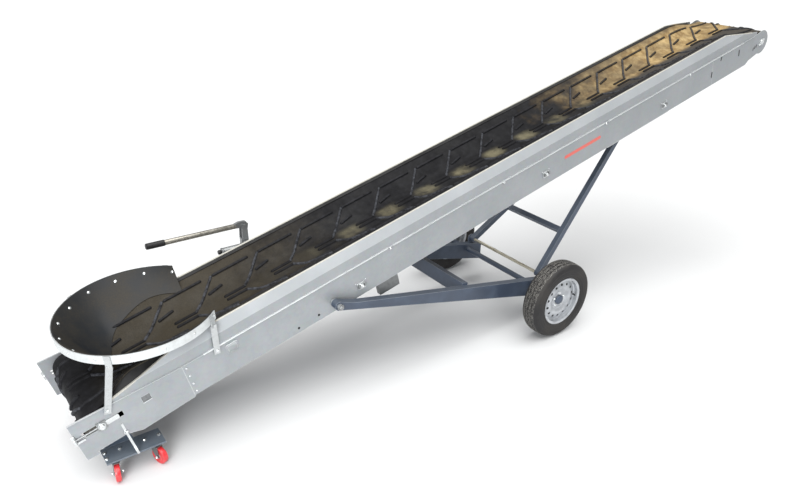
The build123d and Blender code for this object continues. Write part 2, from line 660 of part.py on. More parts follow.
# Origin: middle of the bounding box's underside
boxes = [n.bounding_box() for n in nodes.values()]
x0, x1 = min(b.min.X for b in boxes), max(b.max.X for b in boxes)
y0, y1 = min(b.min.Y for b in boxes), max(b.max.Y for b in boxes)
z0 = min(b.min.Z for b in boxes)
shift = Pos(-(x0 + x1) / 2, -(y0 + y1) / 2, -z0)
print("shift", -(x0 + x1) / 2, -(y0 + y1) / 2, -z0, "size", x1 - x0, y1 - y0, max(b.max.Z for b in boxes) - z0)

os.makedirs("parts", exist_ok=True)
for name, shape in nodes.items():
    export_step(shift * shape, os.path.join("parts", name + ".step"))
    print(name, len(shape.solids()), round(shape.volume / 1000))
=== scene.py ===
# %% [markdown]
# What this lesson makes.
# The subject is a mobile belt conveyor: a long box of folded sheet steel with a black rubber belt
# lying in it, a round rubber hopper at its low end, four small swivel wheels under that end and a
# folding, two-wheeled undercarriage in the middle. The exact solids come from a frame that is loaded
# here. This script never moves them. It gives them their finish and adds what only a mesh can show
# well, such as the belt's raised pattern, the hopper's soft sheet, the tyres' tread and the bolts.

# %% Load the frame and measure it
import bpy
import bmesh
from math import sin, cos, tan, pi, radians, degrees, hypot
from mathutils import Vector, Matrix, noise


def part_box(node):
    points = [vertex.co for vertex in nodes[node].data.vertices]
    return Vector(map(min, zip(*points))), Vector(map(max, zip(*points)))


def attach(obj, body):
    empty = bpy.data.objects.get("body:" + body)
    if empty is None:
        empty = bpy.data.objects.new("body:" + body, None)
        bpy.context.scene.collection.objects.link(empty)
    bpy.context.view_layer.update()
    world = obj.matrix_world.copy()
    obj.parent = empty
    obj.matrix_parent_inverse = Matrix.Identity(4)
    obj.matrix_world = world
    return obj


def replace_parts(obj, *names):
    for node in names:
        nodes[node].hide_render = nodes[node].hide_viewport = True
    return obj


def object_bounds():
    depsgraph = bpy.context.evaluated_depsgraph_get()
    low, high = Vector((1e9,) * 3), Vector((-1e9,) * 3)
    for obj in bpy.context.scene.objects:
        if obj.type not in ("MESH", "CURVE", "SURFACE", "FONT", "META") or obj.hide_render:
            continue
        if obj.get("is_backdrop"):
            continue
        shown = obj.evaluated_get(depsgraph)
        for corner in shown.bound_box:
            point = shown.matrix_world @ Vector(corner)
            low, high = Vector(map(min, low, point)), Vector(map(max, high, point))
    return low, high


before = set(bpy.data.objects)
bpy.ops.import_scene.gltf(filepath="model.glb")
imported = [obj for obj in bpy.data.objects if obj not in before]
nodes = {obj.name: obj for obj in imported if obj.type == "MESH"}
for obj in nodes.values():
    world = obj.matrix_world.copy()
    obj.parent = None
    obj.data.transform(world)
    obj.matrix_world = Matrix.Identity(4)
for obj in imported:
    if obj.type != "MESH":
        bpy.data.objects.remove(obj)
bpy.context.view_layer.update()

# %% [markdown]
# Two coordinate systems make the work easy.
# Everything is in metres, but most of the machine lies along a slope. So a point can be given as
# u (along the chassis), y (across) and w (square to the chassis), and one function turns it into
# x, y, z. The zero of u and w is the ledge line of the side panels, straight above the road axle.

# %% The sloping coordinate system of the chassis
INCLINE = radians(14.34)
LEDGE_HEIGHT = 1.2296
axle_low, axle_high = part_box("axle")
AXLE_X = (axle_low.x + axle_high.x) / 2
SLOPE_SIN, SLOPE_COS = sin(INCLINE), cos(INCLINE)


def chassis(u, y, w):
    """A point given along, across and square to the chassis, in the frame's x, y and z."""
    return Vector((AXLE_X + u * SLOPE_COS - w * SLOPE_SIN, y, LEDGE_HEIGHT + u * SLOPE_SIN + w * SLOPE_COS))


def from_axle(x, y, z):
    """A point given from the floor under the road axle."""
    return Vector((AXLE_X + x, y, z))


ALONG = Vector((SLOPE_COS, 0, SLOPE_SIN))
ACROSS = Vector((0, 1, 0))
SQUARE = Vector((-SLOPE_SIN, 0, SLOPE_COS))
print("axle at x =", round(AXLE_X, 3), "slope", round(degrees(INCLINE), 2))

# %% [markdown]
# The camera stands at the photograph's own viewpoint: near the low end, above the machine, looking
# up along it. It could be moved by eye until the picture fits, but this one was worked out from
# straight edges whose real lengths are known. So it is written as a place, three angles and a lens,
# and nothing is shifted or cropped.

# %% Camera
CAMERA_PLACE = from_axle(-3.493, -3.351, 2.738)
CAMERA_YAW, CAMERA_PITCH, CAMERA_ROLL = radians(-37.69), radians(26.24), radians(1.90)
LENS_MM, SENSOR_MM, SEES_TO = 30.855, 36.0, 60


def camera_axes(yaw, pitch, roll):
    """The camera's own right, up and back directions."""
    back = Vector((sin(yaw) * cos(pitch), -cos(yaw) * cos(pitch), sin(pitch)))
    level = Vector((cos(yaw), sin(yaw), 0))
    raised = back.cross(level)
    return level * cos(roll) + raised * sin(roll), raised * cos(roll) - level * sin(roll), back


camera_data = bpy.data.cameras.new("photo_view")
camera_data.lens, camera_data.sensor_width, camera_data.clip_end = LENS_MM, SENSOR_MM, SEES_TO
camera = bpy.data.objects.new("photo_view", camera_data)
bpy.context.scene.collection.objects.link(camera)
axes = camera_axes(CAMERA_YAW, CAMERA_PITCH, CAMERA_ROLL)
camera.matrix_world = Matrix([[*(a[i] for a in axes), CAMERA_PLACE[i]] for i in range(3)] + [[0, 0, 0, 1]])
bpy.context.scene.camera = camera
print("camera at", [round(v, 3) for v in CAMERA_PLACE])

# %% [markdown]
# Light in a big hall is soft: most of it comes from the roof, and shadows have no hard edge. A pale
# sky gives the even part. A wide sun from almost straight above makes faces that look up twice as
# bright as upright ones, which separates the sloping strips from the side panels. A square lamp to
# the left of the camera fades along the machine as a flash does. The floor is a plain square, far
# larger than the machine, and so well lit that it looks white.

# %% Floor and light
SKY_COLOUR, SKY_STRENGTH = (0.975, 0.985, 1.0, 1), 0.38
ROOF_PLACE, ROOF_STRENGTH, ROOF_SPREAD = (-0.6, -0.9, 6.0), 4.4, radians(75)
SIDE_PLACE, SIDE_AIM, SIDE_WATTS, SIDE_SIZE = (-5.7, -4.5, 2.8), (-1.9, 0, 0.7), 270, 2.4
FLOOR_REACH = 30.0


def lamp(name, kind, place, target, energy, colour):
    """A lamp that looks from a place to a target."""
    data = bpy.data.lights.new(name, kind)
    data.energy, data.color = energy, colour
    made = bpy.data.objects.new(name, data)
    made.location = place
    made.rotation_mode = "QUATERNION"
    made.rotation_quaternion = (Vector(target) - Vector(place)).to_track_quat("-Z", "Y")
    bpy.context.scene.collection.objects.link(made)
    return data


world = bpy.data.worlds.new("hall")
world.use_nodes = True
sky = world.node_tree.nodes["Background"]
sky.inputs["Color"].default_value = SKY_COLOUR
sky.inputs["Strength"].default_value = SKY_STRENGTH
bpy.context.scene.world = world
bpy.context.scene.view_settings.view_transform = "Standard"
lamp("roof_light", "SUN", ROOF_PLACE, (0, 0, 0), ROOF_STRENGTH, (1.0, 0.992, 0.975)).angle = ROOF_SPREAD
lamp("side_light", "AREA", SIDE_PLACE, SIDE_AIM, SIDE_WATTS, (0.97, 0.985, 1.0)).size = SIDE_SIZE

floor_mesh = bpy.data.meshes.new("floor")
corners = [(x * FLOOR_REACH, y * FLOOR_REACH, 0) for x, y in ((-1, -1), (1, -1), (1, 1), (-1, 1))]
floor_mesh.from_pydata(corners, [], [(0, 1, 2, 3)])
floor_object = bpy.data.objects.new("floor", floor_mesh)
bpy.context.scene.collection.objects.link(floor_object)
floor_object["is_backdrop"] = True
print("lamps:", len(bpy.data.lights), "floor in metres:", 2 * FLOOR_REACH)

# %% [markdown]
# A finish is a small network of nodes. It could be clicked together in the shader editor, but this
# machine needs about thirty, and many differ only a little. So one class makes the nodes. Its noise
# patterns are in real metres, because every object here sits at the origin, and its object
# coordinates are the machine's own.


# %% A helper that makes nodes
def tone(red, green, blue):
    """A colour given from 0 to 255 as seen on a screen, as the linear values that the shader wants."""
    linear = [((c / 255 + 0.055) / 1.055) ** 2.4 if c > 10 else c / 255 / 12.92 for c in (red, green, blue)]
    return (*linear, 1)


class Recipe:
    def __init__(self, tree):
        self.tree = tree
        self.place = self.add("ShaderNodeTexCoord").outputs["Object"]

    def add(self, kind, **settings):
        made = self.tree.nodes.new(kind)
        for key, value in settings.items():
            setattr(made, key, value)
        return made

    def link(self, source, socket):
        self.tree.links.new(source, socket)

    def feed(self, socket, value):
        """Links an output, or sets a plain value."""
        if isinstance(value, bpy.types.NodeSocket):
            self.link(value, socket)
        else:
            socket.default_value = value

    def stretch(self, scale):
        """Coordinates scaled by a triple, for streaks."""
        made = self.add("ShaderNodeMapping")
        self.link(self.place, made.inputs["Vector"])
        made.inputs["Scale"].default_value = scale
        return made.outputs["Vector"]

    def noise(self, scale, detail=4.0, rough=0.55, place=None):
        made = self.add("ShaderNodeTexNoise")
        self.link(place or self.place, made.inputs["Vector"])
        for key, number in (("Scale", scale), ("Detail", detail), ("Roughness", rough)):
            made.inputs[key].default_value = number
        return made.outputs["Fac"]

    def crystals(self, scale):
        """A different shade for each of many irregular cells."""
        made = self.add("ShaderNodeTexVoronoi")
        self.link(self.place, made.inputs["Vector"])
        made.inputs["Scale"].default_value = scale
        return made.outputs["Color"]

    def band(self, value, low, high, to_low=0.0, to_high=1.0):
        """A smooth step from low to high."""
        made = self.add("ShaderNodeMapRange", interpolation_type="SMOOTHSTEP")
        self.feed(made.inputs["Value"], value)
        for key, number in (("From Min", low), ("From Max", high), ("To Min", to_low), ("To Max", to_high)):
            made.inputs[key].default_value = number
        return made.outputs["Result"]

    def math(self, operation, a, b=0.0):
        made = self.add("ShaderNodeMath", operation=operation)
        self.feed(made.inputs[0], a)
        self.feed(made.inputs[1], b)
        return made.outputs[0]

    def times(self, first, *others):
        """The product of two or more values."""
        for other in others:
            first = self.math("MULTIPLY", first, other)
        return first

    def axis(self, name, vector):
        made = self.add("ShaderNodeSeparateXYZ")
        self.link(vector, made.inputs[0])
        return made.outputs[name]

    def mix(self, share, a, b, how="MIX"):
        made = self.add("ShaderNodeMix", data_type="RGBA", blend_type=how)
        self.feed(made.inputs["Factor"], share)
        self.feed(made.inputs[6], a)
        self.feed(made.inputs[7], b)
        return made.outputs[2]

    def layer(self, base, cover, *shares):
        """A cover over a base, as thick as the product of its shares."""
        return self.mix(self.times(*shares), base, cover)


print("helper for nodes:", Recipe.__name__)

# %% [markdown]
# The second class is the finish itself: a material whose shader takes a colour, a roughness and a
# bump from such nodes. Two masks belong to it: dust lies on faces that look up, and paint is rubbed
# off along edges. The same two masks also carry painted highlight, a paler tone on faces that look
# up and along edges. Values that are the same all over are set on the shader's own sockets.


# %% A helper for finishes
class Finish(Recipe):
    def __init__(self, name, roughness, metallic=0.0, **sockets):
        self.material = bpy.data.materials.new(name)
        self.material.use_nodes = True
        super().__init__(self.material.node_tree)
        self.shader = self.tree.nodes["Principled BSDF"]
        for socket, value in dict(Roughness=roughness, Metallic=metallic, **sockets).items():
            self.shader.inputs[socket.replace("_", " ")].default_value = value

    def upward(self, low, high):
        """How much a face looks up, from 0 to 1."""
        return self.band(self.axis("Z", self.add("ShaderNodeNewGeometry").outputs["Normal"]), low, high)

    def edges(self, radius, low=0.004, high=0.05):
        """Soft edges: how much a rounded normal differs from the face's own, from 0 to 1."""
        rounded = self.add("ShaderNodeBevel", samples=6)
        rounded.inputs["Radius"].default_value = radius
        both = self.add("ShaderNodeVectorMath", operation="DOT_PRODUCT")
        self.link(rounded.outputs["Normal"], both.inputs[0])
        self.link(self.add("ShaderNodeNewGeometry").outputs["Normal"], both.inputs[1])
        return self.band(self.math("SUBTRACT", 1.0, both.outputs["Value"]), low, high)

    def colour(self, value):
        self.feed(self.shader.inputs["Base Color"], value)

    def roughness(self, value):
        self.feed(self.shader.inputs["Roughness"], value)

    def bump(self, height, strength, distance, under=None):
        made = self.add("ShaderNodeBump")
        made.inputs["Strength"].default_value = strength
        made.inputs["Distance"].default_value = distance
        self.feed(made.inputs["Height"], height)
        if under is not None:
            self.link(under, made.inputs["Normal"])
        self.link(made.outputs["Normal"], self.shader.inputs["Normal"])
        return made.outputs["Normal"]


print("helper for finishes:", Finish.__name__)

# %% [markdown]
# The chassis is thin sheet with a light silver-grey skin. It isn't a mirror: its gloss is broad, and
# up close the zinc under it shows as pale, large crystals. Dust settles on faces that look up, and
# rain and hands leave faint streaks down the sides. Faces that look up are also painted paler, a
# painted highlight for the light from the roof, and edges are painted bright, partly rubbed metal and
# partly painted highlight. A scanned picture of sheet metal would repeat over six metres, so noises
# at several scales give all of that. The small zinc-plated parts share one recipe in several shades,
# and two of those shades are painted shade and painted highlight.


# %% Sheet metal
def sheet_finish():
    f = Finish("silver_sheet", 0.42, 0.35)
    mottling = f.noise(3.2, 5.0, 0.6)
    streaks = f.noise(9.0, 4.0, 0.6, f.stretch((1.0, 1.0, 0.12)))
    dust = f.band(f.noise(11.0, 6.0, 0.7), 0.45, 0.8)
    base = f.mix(f.band(mottling, 0.35, 0.7), tone(147, 151, 154), tone(158, 161, 164))
    base = f.mix(0.05, base, f.crystals(55.0), "SOFT_LIGHT")
    base = f.layer(base, tone(136, 138, 136), f.band(streaks, 0.55, 0.8), 0.22)
    # painted highlight: faces that look up are made paler, as if lit from above
    base = f.layer(base, tone(188, 192, 195), f.upward(0.12, 0.40), 0.6)
    base = f.layer(base, tone(190, 184, 170), f.upward(0.3, 0.9), dust, 0.16)
    # painted highlight along the edges, together with rubbed bright metal
    f.colour(f.layer(base, tone(226, 228, 226), f.edges(0.004), 0.5))
    f.roughness(f.band(mottling, 0.3, 0.75, 0.36, 0.52))
    f.bump(f.noise(2.1, 2.0), 0.10, 0.010, f.bump(f.noise(240.0, 2.0), 0.05, 0.0004))
    return f.material


def zinc_finish(name="zinc", shade=1.0, rough=0.34):
    """Plated steel: shade above 1 is paler and below 1 darker; it stands for fresh and dull zinc, and for
    painted highlight and painted shade.
    """
    f = Finish(name, rough, 0.85)
    patch = f.noise(38.0, 5.0, 0.65)
    fresh, dull = tone(192 * shade, 195 * shade, 196 * shade), tone(182 * shade, 184 * shade, 184 * shade)
    f.colour(f.mix(f.band(patch, 0.35, 0.8), fresh, dull))
    f.roughness(f.band(patch, 0.35, 0.8, rough - 0.08, rough + 0.16))
    f.bump(f.noise(160.0, 3.0), 0.12, 0.0006)
    return f.material


SHEET = sheet_finish()
ZINC = zinc_finish()
BRIGHT = zinc_finish("bright_strip", 1.13, 0.42)
FASTENER = zinc_finish("fastener", 1.12, 0.25)
DULL_CAST = zinc_finish("dull_cast", 0.80, 0.46)
# painted shade: a darker zinc for the fork cheeks and the shaft plates' ears
FORK_SHADED_ZINC = zinc_finish("fork_painted_shade", 0.74, 0.42)
BLOCK_GREY = zinc_finish("block_grey", 0.66, 0.5)
# painted highlight: the palest zinc, for the lit top of the ledge bead
BEAD_HIGHLIGHT_ZINC = zinc_finish("bead_painted_highlight", 1.2, 0.4)
print("sheet and zinc finishes:", len(bpy.data.materials))

# %% [markdown]
# The undercarriage is brushed with slate-blue paint. Its side faces keep the blue, while its top
# faces have gone grey under dust. Its edges are painted pale, partly rubbed paint and partly a
# painted highlight. Dust could be painted on each face by hand. Here the direction that a face looks
# in tells the shader where it lies, so it stays right on every tube. The caster plates have the same
# paint, paler and dustier.


# %% Slate paint
def slate_finish(name, low, high, dusty):
    f = Finish(name, 0.45, 0.0, Coat_Weight=0.12, Coat_Roughness=0.3)
    wear = f.noise(6.5, 6.0, 0.62)
    dust = f.band(f.noise(24.0, 6.0, 0.7), 0.3, 0.75, 0.35, 0.9)
    chips = f.band(f.noise(130.0, 3.0, 0.7), 0.735, 0.76)
    base = f.mix(f.band(wear, 0.38, 0.68), low, high)
    base = f.layer(base, dusty, f.upward(0.2, 0.85), dust)
    base = f.layer(base, tone(140, 142, 142), chips, 0.6)
    # painted highlight along the edges, together with paint rubbed pale
    f.colour(f.layer(base, tone(138, 144, 152), f.edges(0.005), 0.55))
    f.roughness(f.band(wear, 0.3, 0.75, 0.36, 0.6))
    f.bump(f.noise(75.0, 4.0), 0.16, 0.0008)
    return f.material


SLATE = slate_finish("slate_paint", tone(54, 64, 80), tone(68, 79, 96), tone(76, 82, 90))
DECK = slate_finish("deck_paint", tone(78, 89, 102), tone(92, 102, 113), tone(96, 103, 110))
print("slate paints: undercarriage and caster plates")

# %% [markdown]
# Rubber is nearly black and matt, and what the eye reads as its colour is mostly dust and scuffs.
# So every rubber here starts from black and gets a dust layer: fine grain at millimetre size, and
# soft clouds at hand size. The same recipe with paler tones serves for plastics and enamel. Turned
# steel has fine lines round it, and the red wheels and silver rims are paint over a scuffed skin.


# %% Rubbers, paints and turned steel
def rubber_finish(name, dark, dusty, share, rough=0.62, grain=420.0, cloud=5.0, gloss=0.4):
    f = Finish(name, rough, 0.0, Specular_IOR_Level=gloss)
    clouds = f.band(f.noise(cloud, 6.0, 0.62), 0.38, 0.72)
    fine = f.band(f.noise(grain * 0.3, 3.0, 0.7), 0.35, 0.75, 0.5, 1.0)
    f.colour(f.layer(dark, dusty, clouds, fine, share))
    f.roughness(f.band(clouds, 0.0, 1.0, rough - 0.08, rough + 0.12))
    f.bump(f.noise(grain, 3.0), 0.14, 0.0006)
    return f.material


def steel_finish(name, light, dark, rough, metallic=0.8):
    f = Finish(name, rough, metallic)
    lines = f.noise(80.0, 4.0, 0.6, f.stretch((1.0, 0.08, 1.0)))
    f.colour(f.mix(f.band(lines, 0.35, 0.7), dark, light))
    f.roughness(f.band(lines, 0.3, 0.75, rough - 0.1, rough + 0.12))
    f.bump(lines, 0.08, 0.0005)
    return f.material


def red_finish():
    f = Finish("red_wheel", 0.32, 0.0, Coat_Weight=0.25, Coat_Roughness=0.2)
    base = f.mix(f.band(f.noise(60.0, 5.0, 0.7), 0.42, 0.7), tone(206, 44, 50), tone(220, 74, 76))
    f.colour(f.layer(base, tone(150, 90, 84), f.band(f.noise(210.0, 4.0), 0.6, 0.75), 0.25))
    f.bump(f.noise(300.0, 2.0), 0.08, 0.0004)
    return f.material


def silver_finish():
    f = Finish("wheel_silver", 0.36, 0.55)
    patch = f.noise(14.0, 5.0, 0.6)
    base = f.mix(f.band(patch, 0.4, 0.7), tone(184, 187, 191), tone(160, 163, 167))
    f.colour(f.layer(base, tone(112, 104, 94), f.band(f.noise(60.0, 5.0, 0.7), 0.55, 0.75), 0.35))
    f.roughness(f.band(patch, 0.3, 0.8, 0.3, 0.5))
    f.bump(f.noise(220.0, 2.0), 0.07, 0.0004)
    return f.material


HOPPER_RUBBER = rubber_finish("hopper_sheet", tone(31, 34, 38), tone(72, 64, 48), 0.62, 0.46, 420.0, 2.2, 0.2)
SEAL = rubber_finish("seal_rubber", tone(13, 13, 14), tone(44, 42, 40), 0.2, 0.7)
GRIP = rubber_finish("grip_plastic", tone(26, 26, 27), tone(70, 70, 70), 0.25, 0.5, 600.0, 30.0)
BLACK_PAINT = rubber_finish("black_enamel", tone(24, 25, 27), tone(70, 68, 66), 0.25, 0.34, 90.0, 12.0)
HEM_CREAM = rubber_finish("hem_cream", tone(182, 180, 172), tone(158, 155, 146), 0.5, 0.5, 200.0, 6.0)
PANE = rubber_finish("grey_pane", tone(104, 106, 108), tone(128, 128, 126), 0.4, 0.3, 200.0, 20.0)
# painted shade: near-black for the vents and slots, where the real part has a hole with shade behind it
SHADE_BLACK = rubber_finish("painted_shade_black", tone(12, 12, 12), tone(30, 26, 24), 0.3, 0.8)
DRUM = steel_finish("drum_steel", tone(126, 124, 120), tone(78, 74, 70), 0.45)
CHROME = steel_finish("rod_chrome", tone(220, 221, 222), tone(196, 197, 198), 0.16)
ROD = steel_finish("cream_rod", tone(222, 217, 200), tone(198, 190, 168), 0.3)
RED = red_finish()
SILVER = silver_finish()
print("materials:", len(bpy.data.materials))

# %% [markdown]
# The loaded solids already have the right shape and only need a finish. Each could be given its own
# by hand, but a short table is easier to read and change: a start of a name on the left, a material
# on the right. The first match wins, so special cases stand above general ones, and the empty name
# at the end catches all the sheet metal.

# %% Dress the loaded solids
NODE_FINISH = [
    ("belt_bed", SHEET), ("belt", SEAL), ("hopper_rubber", HOPPER_RUBBER), ("hopper_band", BRIGHT),
    ("hopper_straps", ZINC), ("tyre", SEAL), ("rim", SILVER), ("hub", SLATE), ("head_drum", DRUM),
    ("tail_drum", DRUM), ("arm", SLATE), ("cross_tube", SLATE), ("axle", SLATE), ("prop_frame", SLATE),
    # the forks' darker zinc is painted shade
    ("caster_plate", DECK), ("caster_stays", BRIGHT), ("caster", RED), ("fork", FORK_SHADED_ZINC),
    ("stop_blocks", BLOCK_GREY), ("pivot_pin", ZINC), ("knee_rod", ROD), ("prop_", ZINC),
    ("return_rollers", ZINC), ("tensioner", DULL_CAST), ("lift_rod", CHROME), ("lift_barrel", BLACK_PAINT),
    ("pump", DULL_CAST), ("", SHEET),
]


def dress(obj, material):
    """One material all over an object."""
    obj.data.materials.clear()
    obj.data.materials.append(material)


for name, obj in nodes.items():
    dress(obj, next(m for start, m in NODE_FINISH if name.startswith(start)))
print("dressed solids:", len(nodes))

# %% [markdown]
# Bolts, tubes, plates and even the belt can be made the same way: a list of points is joined ring by
# ring. Modifiers on primitives would work for some of them, but not for all. So one class keeps such
# rings and turns them into one mesh. Like pieces share a mesh, so a whole row of bolts is one
# object. Edges sharper than 32 degrees stay crisp and the rest is shaded smooth.


# %% A class that collects rings into a mesh
class Shape:
    def __init__(self):
        self.points, self.faces, self.marks = [], [], []

    def rings(self, rings, closed=True, caps=True, marks=None):
        """Skins rings that each have the same number of points."""
        start, size = len(self.points), len(rings[0])
        for i, ring in enumerate(rings):
            self.points += [Vector(p) for p in ring]
            self.marks += marks[i] if marks else [(0.0, 0.0)] * size
        for i in range(len(rings) - 1):
            for j in range(size if closed else size - 1):
                a, b = start + i * size + j, start + i * size + (j + 1) % size
                self.faces.append((a, b, b + size, a + size))
        if caps:
            self.faces.append(tuple(reversed(range(start, start + size))))
            last = start + (len(rings) - 1) * size
            self.faces.append(tuple(range(last, last + size)))
        return self

    def turned(self, place, direction, profile, steps=20, turn=0.0, caps=True):
        """A turned form: profile pairs are (how far along direction, radius)."""
        direction = Vector(direction).normalized()
        side = direction.orthogonal().normalized()
        up = direction.cross(side)
        angles = [turn + 2 * pi * k / steps for k in range(steps)]
        return self.rings([[Vector(place) + direction * a + (side * cos(t) + up * sin(t)) * r for t in angles]
                           for a, r in profile], caps=caps)

    def plate(self, outline, thickness, soften=0.0):
        """A flat outline made thick, with its outer edge softened."""
        outline = [Vector(p) for p in outline]
        middle = sum(outline, Vector()) / len(outline)
        lift = Vector(thickness)
        inner = [p + (middle - p).normalized() * soften for p in outline]
        if soften == 0:
            return self.rings([outline, [p + lift for p in outline]])
        return self.rings([outline, [p + lift * 0.6 for p in outline], [p + lift for p in inner]])

    def make(self, name, body, material, slot, round_edges=32.0):
        mesh = bpy.data.meshes.new(name)
        mesh.from_pydata(self.points, [], self.faces)
        belt_uv = mesh.uv_layers.new(name="belt_measure")
        for loop in mesh.loops:
            belt_uv.data[loop.index].uv = self.marks[loop.vertex_index]
        tidy = bmesh.new()
        tidy.from_mesh(mesh)
        bmesh.ops.recalc_face_normals(tidy, faces=tidy.faces)
        tidy.to_mesh(mesh)
        tidy.free()
        mesh.shade_smooth()
        mesh.set_sharp_from_angle(angle=radians(round_edges))
        made = bpy.data.objects.new(name, mesh)
        bpy.context.scene.collection.objects.link(made)
        made.data.materials.append(material)
        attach(made, body)
        print(name, "faces:", len(mesh.polygons))
        return made


def hex_bolt(shape, place, direction, across, turn=0.0):
    """A washer, a chamfered hexagon head and the slight dome on it."""
    direction = Vector(direction).normalized()
    r = across / 2
    shape.turned(place, direction, [(0, r * 1.45), (r * 0.22, r * 1.45), (r * 0.28, r * 1.36)], 20)
    shape.turned(Vector(place) + direction * r * 0.26, direction,
                 [(0, r * 1.1), (r * 0.62, r * 1.1), (r * 0.8, r * 0.94), (r * 0.84, r * 0.4)], 6, turn)


def dome(shape, place, direction, r):
    """A round-headed rivet."""
    shape.turned(place, direction, [(0, r), (r * 0.22, r * 0.96), (r * 0.42, r * 0.78), (r * 0.55, r * 0.42),
                                    (r * 0.58, r * 0.1)], 16)


print("helpers for meshes:", Shape.__name__, hex_bolt.__name__, dome.__name__)

# %% [markdown]
# The belt is the piece that needs most care. On the real machine one closed loop of rubber lies flat
# round both drums and is folded up at its sides in between. It could be bent from a flat grid by
# modifiers, but a formula is more exact: a point on the belt is given by how far it lies along the
# loop and across it, and the function says where that is. The fold is a small arc, so that lengths
# across stay true. Everything that sits on the belt uses the same function.

# %% Where a point of the belt lies
TAIL_U, TAIL_W, TAIL_R = -3.133, -0.070, 0.090
HEAD_U, HEAD_W, HEAD_R = 2.680, -0.088, 0.0872
TROUGH_FROM, TROUGH_TO, TROUGH_TOP = -2.880, 2.200, 0.020
RETURN_DROPS_FROM, RETURN_DROPS_TO = 2.25, 2.62
BELT_THICK, FOLD_AT, FOLD_HALF = 0.008, 0.083, 0.020
WING = radians(27.0)
RUN = HEAD_U - TAIL_U
HEAD_ROUND, TAIL_ROUND = pi * HEAD_R, pi * TAIL_R
BELT_LOOP = 2 * RUN + HEAD_ROUND + TAIL_ROUND
print("belt loop in metres:", round(BELT_LOOP, 3))


def ease(low, high, value):
    """0 below low, 1 above high, and a smooth step in between."""
    share = min(1.0, max(0.0, (value - low) / (high - low)))
    return share * share * (3 - 2 * share)


def belt_line(s):
    """The middle of the belt's outer face: u, w, its outward direction in u and w, and the fold."""
    s = s % BELT_LOOP
    if s < RUN:
        u = TAIL_U + s
        fall = max(0.0, (u - TROUGH_TO) / (HEAD_U - TROUGH_TO))
        w = TROUGH_TOP - fall * (TROUGH_TOP - HEAD_W - HEAD_R)
        fold = WING * ease(TAIL_U, TROUGH_FROM, u) * (1 - ease(TROUGH_TO, HEAD_U, u))
        return u, w, 0.0, 1.0, fold
    s -= RUN
    if s < HEAD_ROUND:
        a = s / HEAD_R
        return HEAD_U + HEAD_R * sin(a), HEAD_W + HEAD_R * cos(a), sin(a), cos(a), 0.0
    s -= HEAD_ROUND
    if s < RUN:
        u = HEAD_U - s
        at_tail, at_head = TAIL_R - TAIL_W, HEAD_R - HEAD_W
        drop = at_tail + (at_head - at_tail) * ease(RETURN_DROPS_FROM, RETURN_DROPS_TO, u)
        return u, -drop, 0.0, -1.0, 0.0
    a = pi + (s - RUN) / TAIL_R
    return TAIL_U + TAIL_R * sin(a), TAIL_W + TAIL_R * cos(a), sin(a), cos(a), 0.0


def on_belt(s, t, height=0.0):
    """A point s along the loop from the tail drum's top, t across it, and height off its face."""
    u, w, out_u, out_w, fold = belt_line(s)
    y, lift, lean = abs(t), 0.0, 0.0
    start = FOLD_AT - FOLD_HALF
    if fold > 1e-4 and y > start:
        radius = 2 * FOLD_HALF / fold
        lean = min(fold, (y - start) / radius)
        past = max(0.0, y - start - 2 * FOLD_HALF)
        y = start + radius * sin(lean) + past * cos(lean)
        lift = radius * (1 - cos(lean)) + past * sin(lean)
    y -= height * sin(lean)
    lift += height * cos(lean)
    return chassis(u + out_u * lift, y if t >= 0 else -y, w + out_w * lift)


# %% [markdown]
# The belt's body is a row of closed cross sections along that loop. A profile swept along a curve
# would be quicker, but it can't change its fold on the way. The sections stand close together where
# the belt bends and far apart where it runs straight. Each corner keeps its place along and across
# the belt in a UV map, and the dirt is painted by those two numbers instead of by x, y and z.

# %% The belt's body
TO_EDGE = [0.0, 0.03, 0.055, 0.067, 0.075, 0.083, 0.091, 0.099, 0.112, 0.15, 0.19, 0.235, 0.27, 0.292, 0.300]
ACROSS_BELT = [-t for t in reversed(TO_EDGE[1:])] + TO_EDGE
BENT_STEP, OPENING_STEP, STRAIGHT_STEP = 0.016, 0.03, 0.11
WORN_EDGE = 0.0015
SEAMS = (RUN, RUN + HEAD_ROUND, 2 * RUN + HEAD_ROUND, BELT_LOOP)


def stations():
    """Places along the loop, closer together at the drums and where the trough opens."""
    places = [0.0]
    while places[-1] < BELT_LOOP:
        s = places[-1]
        bent = s > SEAMS[2] or SEAMS[0] <= s < SEAMS[1]
        opening = s < TROUGH_FROM - TAIL_U or TROUGH_TO - TAIL_U < s < RUN
        step = BENT_STEP if bent else OPENING_STEP if opening else STRAIGHT_STEP
        ahead = [seam for seam in SEAMS if seam > s + 1e-6]
        places.append(min(s + step, ahead[0]) if ahead else BELT_LOOP)
    return places


belt_shape = Shape()
belt_rings, belt_marks = [], []
for s in stations():
    outer = [on_belt(s, t, -WORN_EDGE if abs(t) == TO_EDGE[-1] else 0.0) for t in ACROSS_BELT]
    inner = [on_belt(s, t, -BELT_THICK) for t in reversed(ACROSS_BELT)]
    belt_rings.append(outer + inner)
    belt_marks.append([(s, t) for t in ACROSS_BELT] + [(s, t) for t in reversed(ACROSS_BELT)])
belt_shape.rings(belt_rings, caps=False, marks=belt_marks)
print("cross sections of the belt:", len(belt_rings))

# %% [markdown]
# The raised pattern is what carries loose material uphill. It's open in the middle: two short stems
# run side by side, an arm goes from each stem out to the edge, a bar follows the edge, and a short
# bar lies between two arms. An image could make it as a bump, but seen along the belt its height
# shows. So each bar is a narrow ring of points swept along the belt, which folds with the trough and
# goes round the drums. Its top is rounded and its ends slope.

# %% The raised pattern
PATTERN_FIRST, PITCHES = -2.750 - TAIL_U, 39
PATTERN_PITCH = BELT_LOOP / PITCHES
BAR_TALL, BAR_STEP = 0.010, 0.018
END_REACH, END_TALL, END_WIDE = 0.8, 0.25, 0.75
